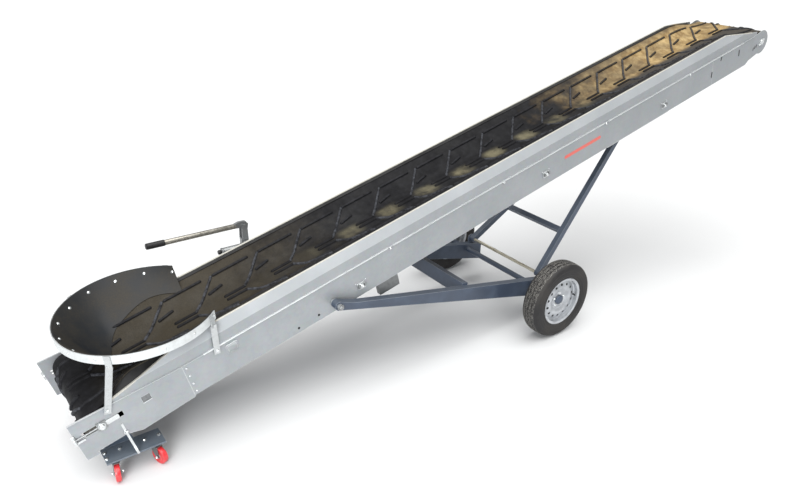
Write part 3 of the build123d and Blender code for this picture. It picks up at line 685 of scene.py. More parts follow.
# along and across at both ends, half of the width, which kind
BARS = [
    (-0.125, 0.020, 0.000, 0.020, 0.0100, "stem"),
    (0.000, 0.020, 0.190, 0.208, 0.0088, "arm"),
    (0.205, 0.210, 0.435, 0.213, 0.0088, "bar"),
    (0.125, 0.108, 0.212, 0.125, 0.0092, "bar"),
]
BAR_SECTION = [(-1.0, -0.15), (-0.82, 0.72), (-0.45, 1.0), (0.45, 1.0), (0.82, 0.72), (1.0, -0.15)]


def add_bar(shape, s0, t0, s1, t1, half):
    """One bar, swept in short steps, with sloping ends."""
    length = hypot(s1 - s0, t1 - t0)
    ds, dt = (s1 - s0) / length, (t1 - t0) / length
    count = max(3, round(length / BAR_STEP))
    rings, marks = [], []
    for k in range(-1, count + 2):
        share = min(max(k / count, 0.0), 1.0)
        s, t = s0 + (s1 - s0) * share, t0 + (t1 - t0) * share
        tall, wide = BAR_TALL, half
        if not 0 <= k <= count:
            reach = half * (END_REACH if k > 0 else -END_REACH)
            s, t = s + ds * reach, t + dt * reach
            tall, wide = BAR_TALL * END_TALL, half * END_WIDE
        rings.append([on_belt(s - dt * a * wide, t + ds * a * wide, h * tall) for a, h in BAR_SECTION])
        marks.append([(s, t)] * len(BAR_SECTION))
    shape.rings(rings, marks=marks)


patterns = {"stem": Shape(), "arm": Shape(), "bar": Shape()}
for pitch in range(PITCHES):
    along = PATTERN_FIRST + pitch * PATTERN_PITCH
    for s0, t0, s1, t1, half, kind in BARS:
        for hand in (1, -1):
            add_bar(patterns[kind], along + s0, hand * t0, along + s1, hand * t1, half)
print("pattern pitch:", round(PATTERN_PITCH, 4), "bars:", PITCHES * 2 * len(BARS))

# %% [markdown]
# The belt tells what it last carried. Near the head, half of it is covered with ochre soil and the
# near wing is brown-grey; in the middle it's almost black, with pale patches in front of each open V
# where wet dirt dried; near the hopper it's olive-brown. It could be painted by hand on an image, but
# zones of the two belt measures do it without one, with a noise that frays their edges. The bars get
# the same zones with much less of the soil, and the arms get patches of pale blue-grey, the other bars a
# little.


# %% The belt's dirt
def belt_finish(name, soil, ridge_pale):
    """soil is how much dirt lies on a piece, and the second number how much pale blue-grey it gets in
    patches.
    """
    f = Finish(name, 0.66, 0.0, Specular_IOR_Level=0.14)
    measure = f.add("ShaderNodeUVMap", uv_map="belt_measure").outputs["UV"]
    along, hand = f.axis("X", measure), f.axis("Y", measure)
    fray = f.noise(7.0, 6.0, 0.65)
    sway = f.math("SUBTRACT", fray, 0.5)
    frayed, swung = f.math("ADD", along, f.times(sway, 1.5)), f.math("ADD", hand, f.times(sway, 0.05))
    grain = f.band(f.noise(210.0, 4.0, 0.7), 0.3, 0.75)
    base = f.mix(f.band(f.noise(26.0, 6.0, 0.7), 0.4, 0.75), tone(17, 17, 19), tone(29, 29, 32))

    # olive-brown near the hopper, then a thin grey film all along
    tail = f.times(f.band(frayed, 1.9, 0.7), f.band(along, 0.0, 0.30))
    base = f.layer(base, f.mix(grain, tone(50, 45, 36), tone(74, 67, 52)), tail, soil * 0.62)
    film = f.band(f.noise(3.4, 5.0, 0.6), 0.46, 0.70)
    base = f.layer(base, f.mix(grain, tone(62, 62, 62), tone(82, 82, 80)), film, soil * 0.15)

    # pale patches in front of each V, in the middle of the run
    repeat = f.math("FRACT", f.math("DIVIDE", f.math("SUBTRACT", along, PATTERN_FIRST), PATTERN_PITCH))
    from_middle = f.math("ABSOLUTE", f.math("ADD", hand, 0.012))
    patch = f.times(f.band(repeat, 0.0, 0.26), f.band(repeat, 0.74, 0.42), f.band(from_middle, 0.086, 0.020),
                    f.band(fray, 0.30, 0.66))
    middle = f.times(f.band(along, 1.0, 2.3), f.band(along, 4.4, 3.3))
    base = f.layer(base, f.mix(grain, tone(108, 102, 80), tone(140, 133, 108)), patch, middle, soil * 0.68)

    # brown-grey wings near the head, and ochre soil on the far part
    head = f.times(f.band(frayed, 3.5, 5.0), f.band(along, 7.4, 6.2))
    base = f.layer(base, f.mix(grain, tone(60, 56, 52), tone(92, 87, 79)), head, soil * 0.75)
    far_part = f.times(f.band(swung, -0.045, 0.005), f.band(swung, 0.300, 0.215, 0.35, 1.0))
    worn = f.band(f.noise(5.2, 4.0, 0.6), 0.34, 0.58, 0.62, 1.0)
    ochre = f.mix(f.band(f.noise(15.0, 6.0, 0.7), 0.35, 0.7), tone(134, 110, 72), tone(190, 166, 120))
    ochre = f.layer(ochre, tone(96, 74, 44), grain, 0.35)
    base = f.layer(base, ochre, head, far_part, worn, soil)
    if ridge_pale:
        # pale blue-grey patches all over the piece
        base = f.layer(base, tone(84, 86, 92), f.band(f.noise(48.0, 5.0, 0.7), 0.32, 0.66), ridge_pale)
    f.colour(base)
    f.roughness(f.band(fray, 0.3, 0.7, 0.55, 0.8))
    f.bump(f.noise(330.0, 3.0), 0.12, 0.0006, f.bump(f.noise(38.0, 5.0, 0.7), 0.22, 0.0022))
    return f.material


BELT_EDGES = 50
BELT_FACE = belt_finish("belt_face", 1.0, 0)
belt_piece = belt_shape.make("belt_body", "chassis", BELT_FACE, "belt_rubber", BELT_EDGES)
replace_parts(belt_piece, "belt")
for kind, soil, ridge_pale in (("stem", 0.06, 0), ("arm", 0.12, 0.55), ("bar", 0.10, 0.12)):
    finish = belt_finish("belt_" + kind, soil, ridge_pale)
    patterns[kind].make(f"belt_{kind}s", "chassis", finish, "belt_rubber", BELT_EDGES)

# %% [markdown]
# A soft black strip closes the gap between each side's top edge and the belt, and the sheet's edge
# itself is hemmed with a pale trim. The strip starts inside the hem and leans on the belt, so both
# of its edges are worked out: one from the sheet's own line, the other from the belt's surface. A
# modifier could wrap a strip onto the belt, but the belt's formula gives the same points directly.

# %% Seal strips and hems
SKIRT_Y, SKIRT_LEAN_Y, SKIRT_STEP, SKIRT_TOP = 0.317, 0.290, 0.067, 0.125
SKIRT_FOOT_U, SKIRT_FOOT_W, SKIRT_RISE = -3.060, 0.035, 0.460
SKIRT_FALLS_AT, SKIRT_FALL = 2.19, 0.100 / 0.41
SEAL_FROM, SEAL_TO, SEAL_STEP = -3.050, 2.57, 0.0575
SEAL_RESTS_AT, SEAL_PROUD, SEAL_WAVE = 0.281, 0.0045, 0.0012
HEM_WIDE = 0.0105
HEM = [(0.0012, -0.006), (0.0012, 0.0), (0.0, 0.0012), (-HEM_WIDE + 0.001, 0.0012), (-HEM_WIDE, 0.0),
       (-HEM_WIDE, -0.006)]


def skirt_edge(u):
    """Height and distance across of the side's top edge at u."""
    w = SKIRT_TOP - max(0.0, u - SKIRT_FALLS_AT) * SKIRT_FALL
    w = min(w, SKIRT_FOOT_W + (u - SKIRT_FOOT_U) * (SKIRT_TOP - SKIRT_FOOT_W) / SKIRT_RISE)
    y = SKIRT_Y - (SKIRT_Y - SKIRT_LEAN_Y) * max(0.0, w - SKIRT_STEP) / (SKIRT_TOP - SKIRT_STEP)
    return w, y


def seal_ring(u, hand):
    """Six points of the strip's section: three inside the hem, one on the belt and two under them."""
    w, y = skirt_edge(u)
    inner = y - HEM_WIDE
    rest = on_belt(u - TAIL_U, hand * SEAL_RESTS_AT, SEAL_PROUD + SEAL_WAVE * sin(u * 9.0 + hand))
    edge, top = chassis(u, hand * (inner + 0.004), w - 0.010), chassis(u, hand * inner, w - 0.003)
    crown = chassis(u, hand * (inner - 0.006), w - 0.002)
    return [edge, top, crown, rest, rest - SQUARE * 0.0035, edge - ACROSS * hand * 0.006 - SQUARE * 0.002]


def hem_ring(u, hand):
    w, y = skirt_edge(u)
    return [chassis(u, hand * (y + dy), w + dw) for dy, dw in HEM]


seal_shape, hem_shape = Shape(), Shape()
for hand in (1, -1):
    stops, u = [], SEAL_FROM
    while u <= SEAL_TO:
        stops.append(u)
        u += SEAL_STEP
    seal_shape.rings([seal_ring(u, hand) for u in stops])
    hem_shape.rings([hem_ring(u, hand) for u in stops])
seal_shape.make("seal_strips", "chassis", SEAL, "hopper_rubber")
hem_shape.make("skirt_hems", "chassis", HEM_CREAM, "galvanised")

# %% [markdown]
# The hopper is a sheet of rubber, held by a flat steel band along its rim and open towards the
# incline. A funnel like this could be lofted between two curves in an editor. Here each line from the
# foot to the rim is computed: its lower end stops where it meets the belt, and it bows out a little
# between its ends, because rubber does.

# %% Hopper sheet
HOP_X, HOP_Z, HOP_R, HOP_TILT = -2.681, 0.805, 0.4255, radians(4.6)
MOUTH_HALF, RIM_BACK = 45.0, 110.0
SHEET_THICK, SHEET_GAP, BELT_CLEAR = 0.006, 0.0003, 0.0245
FOOT_U, FOOT_R, FOOT_END_U, FOOT_END_Y = -2.818, 0.115, -2.448, 0.125
SHEET_LINES, LINE_STEPS = 132, 16
BOW, RIPPLE, SAG = 0.006, 0.005, 0.004


def on_rim(angle, radius, height=0.0):
    """A point of the hopper's rim, with its height measured from the rim's tilted plane."""
    a = radians(angle)
    x = radius * cos(a)
    return from_axle(HOP_X + x * cos(HOP_TILT) - height * sin(HOP_TILT), radius * sin(a),
                     HOP_Z + x * sin(HOP_TILT) + height * cos(HOP_TILT))


def on_foot(angle, inset):
    """The point of the foot's outline that belongs to an angle of the rim."""
    hand = 1 if angle < 180 else -1
    turn = min(angle, 360 - angle)
    if turn < RIM_BACK:
        share = (turn - MOUTH_HALF) / (RIM_BACK - MOUTH_HALF)
        u = FOOT_END_U + (FOOT_U - FOOT_END_U) * share
        y = FOOT_END_Y + (FOOT_R - FOOT_END_Y) * share - inset
        return chassis(u, hand * y, 0)
    a = radians(90 + 90 * (turn - RIM_BACK) / (180 - RIM_BACK))
    return chassis(FOOT_U + (FOOT_R - inset) * cos(a), hand * (FOOT_R - inset) * sin(a), 0)


def above_belt(point):
    """How high a point stands over the belt's pattern, square to the chassis."""
    x, z = point.x - AXLE_X, point.z - LEDGE_HEIGHT
    w = z * SLOPE_COS - x * SLOPE_SIN
    return w - BELT_CLEAR - max(0.0, abs(point.y) - FOLD_AT) * tan(WING)


def leaves_belt(foot, rim):
    """How far up its line the sheet starts, found by halving the interval 24 times."""
    if above_belt(foot) >= 0:
        return 0.0
    low, high = 0.0, 1.0
    for _ in range(24):
        middle = (low + high) / 2
        low, high = (middle, high) if above_belt(foot.lerp(rim, middle)) < 0 else (low, middle)
    return high


def sheet_line(angle, inset, steps=LINE_STEPS):
    """One line of the sheet, from the belt up to the rim, with a soft bow and a faint ripple."""
    foot, rim = on_foot(angle, inset), on_rim(angle, HOP_R - inset)
    start = leaves_belt(foot, rim)
    line = []
    for k in range(steps + 1):
        share = start * (1 - k / steps) + k / steps
        point = foot.lerp(rim, share)
        out = Vector((point.x - from_axle(HOP_X, 0, 0).x, point.y, 0)).normalized()
        soft = sin(pi * k / steps)
        ripple = noise.noise(Vector((cos(radians(angle)) * 3.0, sin(radians(angle)) * 3.0, share * 2.2)))
        line.append(point + out * soft * (BOW + RIPPLE * ripple) - Vector((0, 0, SAG * soft)))
    return line


hopper_shape = Shape()
sheet_rings = []
for k in range(SHEET_LINES + 1):
    angle = MOUTH_HALF + (360 - 2 * MOUTH_HALF) * k / SHEET_LINES
    sheet_rings.append(sheet_line(angle, SHEET_GAP) + sheet_line(angle, SHEET_THICK)[::-1])
hopper_shape.rings(sheet_rings)
hopper_piece = hopper_shape.make("hopper_sheet", "chassis", HOPPER_RUBBER, "hopper_rubber", 40)
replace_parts(hopper_piece, "hopper_rubber")

# %% [markdown]
# The sheet hangs from domed fasteners a little below its rim, and they show as a row of bright dots.
# Each needs a place and a direction: the place is the sheet's own line at that angle, and the
# direction is square to that line, so the domes lie on the sheet however it bows. Smaller domes
# close the same fasteners outside on the band.

# %% Domed fasteners round the rim
RIM_FASTENERS, FIRST_FASTENER, FASTENER_DROP = 13, 47, 0.038
DOME_R, BACK_R = 0.0105, 0.0065
BAND_FACE, BAND_MIDDLE = 0.4298, -0.025
rim_shape = Shape()
for k in range(RIM_FASTENERS):
    angle = FIRST_FASTENER + (360 - 2 * FIRST_FASTENER) * k / (RIM_FASTENERS - 1)
    inward = (on_rim(angle, 0.3) - on_rim(angle, 0.4)).normalized()
    line = sheet_line(angle, SHEET_THICK, 40)
    spot = min(line[20:], key=lambda p: abs((line[-1] - p).length - FASTENER_DROP))
    slope = (line[-1] - spot).normalized()
    facing = (inward - slope * inward.dot(slope)).normalized()
    dome(rim_shape, spot - facing * 0.001, facing, DOME_R)
    dome(rim_shape, on_rim(angle, BAND_FACE, BAND_MIDDLE), -inward, BACK_R)
rim_shape.make("rim_fasteners", "chassis", FASTENER, "galvanised")

# %% [markdown]
# The road tyres are trailer tyres: a flat tread with rounded shoulders, three grooves round it that
# run in a fine zigzag, and thin rings on the side walls. One outline is turned about the axle. The
# points inside a groove swing to the left and the right from step to step, which makes the zigzag
# without cutting anything. Fine slits across the ribs are too thin for a mesh, so they are a bump,
# and they are painted darker as the shade inside them.

# %% Road tyres
TYRE_R, SEAT_R, TYRE_STEPS = 0.281, 0.165, 168
TRACK = abs(sum(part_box("tyre_near"), Vector()).y / 2)
GROOVES, ZIGZAG = [0.027, 0.0, -0.027], 0.0019
TREAD_HALF, CROWN_FALL = 0.040, 0.0026
# each groove's section: distance from its middle and depth
GROOVE_SECTION = [(0.0034, 0.0), (0.0026, 0.0062), (-0.0026, 0.0062), (-0.0034, 0.0)]
# one side wall, from the rim up to the tread: distance from the tyre's middle and radius
WALL = [
    (0.0548, SEAT_R), (0.0600, 0.1760), (0.0668, 0.1860), (0.0690, 0.1900), (0.0676, 0.1935),
    (0.0712, 0.2060), (0.0722, 0.2090), (0.0712, 0.2115), (0.0722, 0.2230), (0.0725, 0.2260),
    (0.0717, 0.2290), (0.0710, 0.2410), (0.0715, 0.2435), (0.0702, 0.2460), (0.0688, 0.2540),
    (0.0655, 0.2620), (0.0600, 0.2690), (0.0530, 0.2738), (0.0455, 0.2768), (0.0400, 0.2784),
]


def crown(off):
    """The tread's radius, which falls a little from its middle to both shoulders."""
    return TYRE_R - CROWN_FALL * (off / TREAD_HALF) ** 2


def tyre_outline():
    """Triples of distance from the middle, radius, and 1 for points that zigzag."""
    tread = [(groove + offset, crown(groove + offset) - deep, 1.0)
             for groove in GROOVES for offset, deep in GROOVE_SECTION]
    return [(a, r, 0.0) for a, r in WALL] + tread + [(-a, r, 0.0) for a, r in reversed(WALL)]


def tyre_mesh(side):
    rings, marks = [], []
    for k in range(TYRE_STEPS + 1):
        a = 2 * pi * k / TYRE_STEPS
        swing = ZIGZAG * (1 if k % 2 else -1)
        rings.append([Vector((AXLE_X + r * cos(a), side * TRACK + off + swing * zig, TYRE_R + r * sin(a)))
                      for off, r, zig in tyre_outline()])
        marks.append([(a * TYRE_R, off) for off, r, zig in tyre_outline()])
    return Shape().rings(rings, closed=False, caps=False, marks=marks)


def tread_finish():
    f = Finish("tyre_rubber", 0.7, 0.0, Specular_IOR_Level=0.35)
    measure = f.add("ShaderNodeUVMap", uv_map="belt_measure").outputs["UV"]
    around, off = f.axis("X", measure), f.math("ABSOLUTE", f.axis("Y", measure))
    slit = f.math("FRACT", f.math("ADD", f.times(around, 95.0), f.times(off, 22.0)))
    slit = f.times(f.band(slit, 0.62, 0.78), f.band(off, 0.046, 0.040))
    fleck = f.math("FRACT", f.math("SUBTRACT", f.times(around, 78.0), f.times(off, 90.0)))
    broken = f.band(f.noise(70.0, 3.0), 0.40, 0.55)
    fleck = f.times(f.band(fleck, 0.48, 0.60), f.band(off, 0.050, 0.044), broken)
    cloud = f.band(f.noise(8.0, 6.0, 0.62), 0.35, 0.7)
    dust = f.times(f.band(f.noise(120.0, 5.0, 0.7), 0.42, 0.68), f.band(off, 0.052, 0.040))
    base = f.mix(cloud, tone(34, 33, 34), tone(54, 52, 50))
    base = f.layer(base, tone(84, 82, 81), dust, 0.35)
    base = f.layer(base, tone(150, 148, 142), fleck, 0.7)
    # painted shade: the slits are darkened
    f.colour(f.layer(base, tone(30, 29, 30), slit, 0.75))
    f.roughness(f.band(cloud, 0.0, 1.0, 0.6, 0.78))
    f.bump(f.math("SUBTRACT", 1.0, slit), 0.6, 0.0018, f.bump(f.noise(260.0, 3.0), 0.12, 0.0006))
    return f.material


TREAD = tread_finish()
WHEELS = (("near", -1), ("far", 1))
for name, side in WHEELS:
    tyre = tyre_mesh(side).make("tread_tyre_" + name, "wheel_" + name, TREAD, "tyre", 26)
    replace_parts(tyre, "tyre_" + name)

# %% [markdown]
# The rim's barrel comes from the solid model. Its pressed disc bulges out towards the lip and has a
# ring of vents, a step and a flat round the bolts. A disc can be pressed out of a grid, but it is
# round, so here it's turned from its outline. Each vent is a thin dark disc that lies on its slope:
# painted shade for the dark inside seen through the hole. Five bolts, a valve and a domed cap ride
# with their own wheel too, so they turn with it.

# %% Wheel discs, bolts, caps and valves
WHEEL_BOLTS, WHEEL_BOLT, BOLT_CIRCLE, BOLT_OUT, BOLT_TURN = 5, 0.014, 0.0485, 0.0240, 0.3
VENTS, VENT_CIRCLE, VENT_R, VENT_OUT, VENT_LEAN = 14, 0.1235, 0.0098, 0.0364, 0.28
VALVE_FOOT, VALVE_OUT = 0.148, 0.0275
CAP_OUT, COLLAR_OUT = 0.027, 0.0100
DISC_THICK = 0.003
DISC_FACE = [
    (0.0235, 0.0342), (0.0240, 0.0600), (0.0262, 0.0640), (0.0275, 0.0720), (0.0320, 0.0780),
    (0.0385, 0.0900), (0.0420, 0.1000), (0.0418, 0.1080), (0.0400, 0.1120), (0.0350, 0.1300),
    (0.0310, 0.1400), (0.0290, 0.1480), (0.0300, 0.1530), (0.0340, 0.1588),
]
DISC_SECTION = DISC_FACE + [(a - DISC_THICK, r) for a, r in reversed(DISC_FACE)] + DISC_FACE[:1]
CAP = [(0, 0.0345), (0.004, 0.0352), (0.009, 0.0340), (0.0135, 0.029), (0.0165, 0.019), (0.0175, 0.006)]
COLLAR = [(0, 0.0385), (0.006, 0.0372), (0.0075, 0.0345)]
VALVE = [(0, 0.0072), (0.006, 0.0066), (0.012, 0.0042), (0.018, 0.0042), (0.0185, 0.0052),
         (0.025, 0.0050), (0.0265, 0.0034)]

for name, side in WHEELS:
    wheel, outward = "wheel_" + name, Vector((0, side, 0))
    centre = Vector((AXLE_X, side * TRACK, TYRE_R))
    face = Shape().turned(centre, outward, DISC_SECTION, 72, caps=False)
    face.make("wheel_disc_" + name, wheel, SILVER, "rim_silver", 24)
    vents, bolts = Shape(), Shape()
    for k in range(VENTS):
        a = 2 * pi * (k + 0.5) / VENTS
        spot = centre + Vector((VENT_CIRCLE * cos(a), side * VENT_OUT, VENT_CIRCLE * sin(a)))
        facing = Vector((VENT_LEAN * cos(a), side, VENT_LEAN * sin(a)))
        vents.turned(spot, facing, [(-0.001, VENT_R), (0.0004, VENT_R), (0.0005, VENT_R * 0.9)], 20)
    vents.make("vents_" + name, wheel, SHADE_BLACK, "rim_silver")
    for k in range(WHEEL_BOLTS):
        a = 2 * pi * k / WHEEL_BOLTS + BOLT_TURN
        spot = centre + Vector((cos(a) * BOLT_CIRCLE, side * BOLT_OUT, sin(a) * BOLT_CIRCLE))
        hex_bolt(bolts, spot, outward, WHEEL_BOLT, a)
    bolts.make("wheel_bolts_" + name, wheel, FASTENER, "zinc")
    cap = Shape().turned(centre + outward * CAP_OUT, outward, CAP, 32)
    cap.turned(centre + outward * COLLAR_OUT, outward, COLLAR, 32)
    cap.make("hub_cap_" + name, wheel, SLATE, "slate_paint")
    foot = centre + Vector((VALVE_FOOT, side * VALVE_OUT, 0.0))
    valve = Shape().turned(foot, Vector((-0.12, side, 0)), VALVE, 14)
    valve.make("valve_" + name, wheel, GRIP, "tyre")

# %% [markdown]
# A swivel caster is a fork that trails behind its pivot. Its wheel has a red tread with a crowned,
# softened profile on a pale hub with a recessed side. A bevelled cylinder has neither the crown nor
# the recess, so the wheel is turned from two outlines, one for each colour. The solid wheels are
# plain discs, and these pieces stand for them.

# %% Caster wheels
CASTER_TURNS = {"near_tail": 260, "near_front": 292, "far_tail": 232, "far_front": 262}
HALF_TREAD = [(-0.0125, 0.0345), (-0.0128, 0.040), (-0.0140, 0.0440), (-0.0134, 0.0472), (-0.0115, 0.0490),
              (-0.0080, 0.0499)]
HALF_HUB = [(-0.0138, 0.0062), (-0.0138, 0.0125), (-0.0085, 0.0150), (-0.0085, 0.0285), (-0.0124, 0.0310),
            (-0.0124, 0.0350)]
CROWN, NUT_OUT, CASTER_NUT = (0.0, 0.0500), 0.0235, 0.013
HUB_PALE = steel_finish("hub_plastic", tone(206, 208, 208), tone(168, 168, 166), 0.5, 0.0)


def mirrored(half, middle=()):
    """A profile that is the same on both sides of the wheel."""
    return half + list(middle) + [(-a, r) for a, r in reversed(half)]


for name, heading in CASTER_TURNS.items():
    turn = radians(heading)
    axle = Vector((-sin(turn), cos(turn), 0))
    low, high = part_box("caster_" + name)
    centre = (low + high) / 2
    tread = Shape().turned(centre, axle, mirrored(HALF_TREAD, [CROWN]), 56)
    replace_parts(tread.make("caster_tread_" + name, "roll_" + name, RED, "red_wheel", 24), "caster_" + name)
    hub = Shape().turned(centre, axle, mirrored(HALF_HUB), 40)
    hub.make("caster_hub_" + name, "roll_" + name, HUB_PALE, "red_wheel", 30)
    nuts = Shape()
    hex_bolt(nuts, centre + axle * NUT_OUT, axle, CASTER_NUT)
    hex_bolt(nuts, centre - axle * NUT_OUT, -axle, CASTER_NUT)
    nuts.make("caster_nuts_" + name, "swivel_" + name, FASTENER, "zinc")

# %% [markdown]
# The side panels carry many small fittings: rivets along the ledge, bolts where panels meet, plates
# that hold the shafts between the belt's runs, the bearing in the nose and the belt adjuster. Each is
# given by its place in u and w, read off the photograph, and is repeated on the far side, where such
# a machine has the same. The mirror could be a modifier, but a loop over the two sides needs none.

# %% Places on the side panels
PANEL_Y = 0.317
SIDES = [(hand, Vector((0, hand, 0))) for hand in (1, -1)]
LEDGE_RIVETS = [(1.675, -0.012), (0.675, -0.012), (-1.302, -0.012), (-0.35, -0.012)]


def outside(u, hand, w, proud=0.0):
    """A point on the outer face of a side panel."""
    return chassis(u, hand * (PANEL_Y + proud), w)


print("rivets along each ledge:", len(LEDGE_RIVETS))

# %% [markdown]
# The ledge between skirt and panel is a folded bead that catches the light as a thin bright line,
# broken where a rivet sits. A bevel on the sheet's edge would do, but the sheet is a loaded solid
# that stays as it is. So the bead is a small section of its own, swept from rivet to rivet, and its
# zinc is paler than any other: a painted highlight for the light that the lip catches.

# %% Bright bead along the ledge
BEAD_FROM, BEAD_TO, BEAD_GAP = -2.57, 2.42, 0.02
BEAD = [(-0.005, 0.0), (-0.005, 0.0085), (-0.001, 0.0100), (0.0025, 0.0075), (0.0025, 0.0)]
bead_shape = Shape()
stops = sorted(u for u, w in LEDGE_RIVETS[:3])
for hand, out in SIDES:
    for start, end in zip([BEAD_FROM] + stops, stops + [BEAD_TO]):
        places = (start + BEAD_GAP, (start + end) / 2, end - BEAD_GAP)
        bead_shape.rings([[outside(u, hand, w, proud) for w, proud in BEAD] for u in places])
bead_shape.make("ledge_beads", "chassis", BEAD_HIGHLIGHT_ZINC, "galvanised")

# %% [markdown]
# Round rivets sit in the gaps of the bead and in a row where the tail panel joins. Hexagon bolts
# clamp the hopper's straps and the caster stays. Each head could be a linked copy of one object, but
# they all ride on the same body, so one mesh holds them.

# %% Rivets and bolts of the panels
JOINT_RIVETS = [(-2.655, -0.030), (-2.655, -0.085), (-2.655, -0.140), (-2.655, -0.195)]
STRAP_BOLTS = [(-3.0781, 0.0), (-2.476, -0.020)]
STAY_BOLT = (-3.053, -0.187)
STRAP_FACE, STAY_FACE, BEAD_FACE = 0.0095, 0.003, 0.0055
LEDGE_DOME, JOINT_DOME, STRAP_HEAD, STAY_HEAD = 0.0095, 0.0065, 0.017, 0.016
panel_bolts = Shape()
for hand, out in SIDES:
    for u, w in LEDGE_RIVETS:
        dome(panel_bolts, outside(u, hand, w, BEAD_FACE), out, LEDGE_DOME)
    for u, w in JOINT_RIVETS:
        dome(panel_bolts, outside(u, hand, w), out, JOINT_DOME)
    u, w = STAY_BOLT
    hex_bolt(panel_bolts, outside(u, hand, w, STAY_FACE), out, STAY_HEAD, u)
    for u, w in STRAP_BOLTS:
        hex_bolt(panel_bolts, outside(u, hand, w, STRAP_FACE), out, STRAP_HEAD, u)
panel_bolts.make("panel_bolts", "chassis", FASTENER, "zinc")

# %% [markdown]
# Shafts that cross the chassis end in small clamped plates: a square of folded sheet with two dark
# ears, and in its middle the bright, turned end of the shaft with a screw in it. Three finishes
# would need three slots on one object, and three meshes are simpler to dress.

# %% Shaft plates
SHAFT_PLATES = [(1.357, -0.141), (0.041, -0.133), (-1.551, -0.147)]
PLATE_HALF, PLATE_THICK, EAR_OUT = (0.030, 0.024), 0.005, 0.021
EAR_HALF, EAR_UP, EAR_THICK = (0.0065, 0.012), 0.002, 0.009
PLATE_SCREWS, SCREW_R = [(0.034, 0.026), (-0.034, 0.026)], 0.005
SHAFT_END = [(0, 0.0105), (0.010, 0.0105), (0.0115, 0.0092), (0.0115, 0.006), (0.0100, 0.0052),
             (0.0100, 0.001)]


def square_on_panel(u, hand, w, wide, tall, proud=0.0, corner=0.25):
    """A square outline with cut corners on a side panel."""
    cut = min(wide, tall) * corner
    pairs = [(wide, tall - cut), (wide - cut, tall), (cut - wide, tall), (-wide, tall - cut),
             (-wide, cut - tall), (cut - wide, -tall), (wide - cut, -tall), (wide, cut - tall)]
    return [outside(u + a, hand, w + b, proud) for a, b in pairs]


plate_shape, shaft_shape, ear_shape = Shape(), Shape(), Shape()
for hand, out in SIDES:
    for u, w in SHAFT_PLATES:
        plate_shape.plate(square_on_panel(u, hand, w, *PLATE_HALF), out * PLATE_THICK, 0.0015)
        for way in (-1, 1):
            ear = square_on_panel(u + way * EAR_OUT, hand, w + EAR_UP, *EAR_HALF, PLATE_THICK)
            ear_shape.plate(ear, out * EAR_THICK, 0.0015)
        shaft_shape.turned(outside(u, hand, w, PLATE_THICK), out, SHAFT_END, 24)
        for a, b in PLATE_SCREWS:
            dome(shaft_shape, outside(u + a, hand, w + b), out, SCREW_R)
plate_shape.make("shaft_plates", "chassis", ZINC, "zinc")
# the ears get the darker zinc of the forks: painted shade
ear_shape.make("shaft_ears", "chassis", FORK_SHADED_ZINC, "zinc")
shaft_shape.make("shaft_ends", "chassis", FASTENER, "zinc")

# %% [markdown]
# At the nose a flanged bearing carries the head drum. Its plate is bright and has the shape of an
# eye, with a bolt in both corners. Beside it are dark slots for moving the bearing, and two small
# holes lie near the tail. A hole can be cut with a boolean, but the sheet is a loaded solid that
# stays as it is. So each slot is a very thin dark plate on its face, painted shade for the hollow
# behind it.

# %% Nose bearings and slots
NOSE_U, NOSE_W, EYE_LEAN, EYE_STEPS = 2.680, -0.088, 0.45, 28
EYE_R, EYE_CORNER, EYE_THICK, EYE_FACE = 0.024, 0.017, 0.008, 0.007
EYE_BOLT, EYE_BOLT_OUT, SLOT_DARK = 0.009, 0.0315, 0.0006
BEARING_RING = [(0, 0.022), (0.006, 0.0205), (0.008, 0.0175), (0.008, 0.0152)]
# u, w, half of the width, half of the height, lean
SLOTS = [
    (1.977, -0.125, 0.0055, 0.026, 0.10), (2.097, -0.031, 0.0055, 0.016, 0.35),
    (2.352, -0.071, 0.005, 0.028, 0.0), (-1.866, -0.177, 0.0075, 0.0076, 0.0),
    (-2.006, -0.185, 0.0075, 0.0076, 0.0), (2.590, -0.105, 0.004, 0.014, 0.2),
    (2.612, -0.100, 0.004, 0.014, 0.2), (2.566, -0.112, 0.004, 0.014, 0.2),
]


def long_slot(u, hand, w, half_wide, half_tall, lean, proud=0.0004, steps=6):
    """A slot's outline with round ends, leaning along the chassis by lean."""
    outline = []
    for end, first in ((1, 0.0), (-1, pi)):
        for k in range(steps + 1):
            a = first + pi * k / steps
            du, dw = half_wide * cos(a), end * (half_tall - half_wide) + half_wide * sin(a)
            outline.append(outside(u + du + dw * lean, hand, w + dw, proud))
    return outline


bearing_shape, slot_shape = Shape(), Shape()
for hand, out in SIDES:
    eye = []
    for k in range(EYE_STEPS):
        a = 2 * pi * k / EYE_STEPS
        r = EYE_R + EYE_CORNER * abs(cos(a)) ** 5
        eye.append(outside(NOSE_U + r * cos(a + EYE_LEAN), hand, NOSE_W + r * sin(a + EYE_LEAN)))
    bearing_shape.plate(eye, out * EYE_THICK, 0.003)
    bearing_shape.turned(outside(NOSE_U, hand, NOSE_W, EYE_FACE), out, BEARING_RING, EYE_STEPS)
    for way in (-EYE_BOLT_OUT, EYE_BOLT_OUT):
        corner = outside(NOSE_U + way * cos(EYE_LEAN), hand, NOSE_W + way * sin(EYE_LEAN), EYE_FACE)
        hex_bolt(bearing_shape, corner, out, EYE_BOLT)
    for u, w, half_wide, half_tall, lean in SLOTS:
        slot_shape.plate(long_slot(u, hand, w, half_wide, half_tall, lean), out * SLOT_DARK)
bearing_shape.make("nose_bearings", "chassis", FASTENER, "zinc")
slot_shape.make("panel_slots", "chassis", SHADE_BLACK, "galvanised")

# %% [markdown]
# The tail panel has a pressed cover, a square pane and the belt adjuster. The adjuster's shaft end
# sits in a slot behind a bright slide, with a round nut on it, and a bent end plate with a screw
# closes the slot. Pressed metal could be a bevelled box, but an outline with cut corners and a
# smaller top edge gives the same softness with few faces.

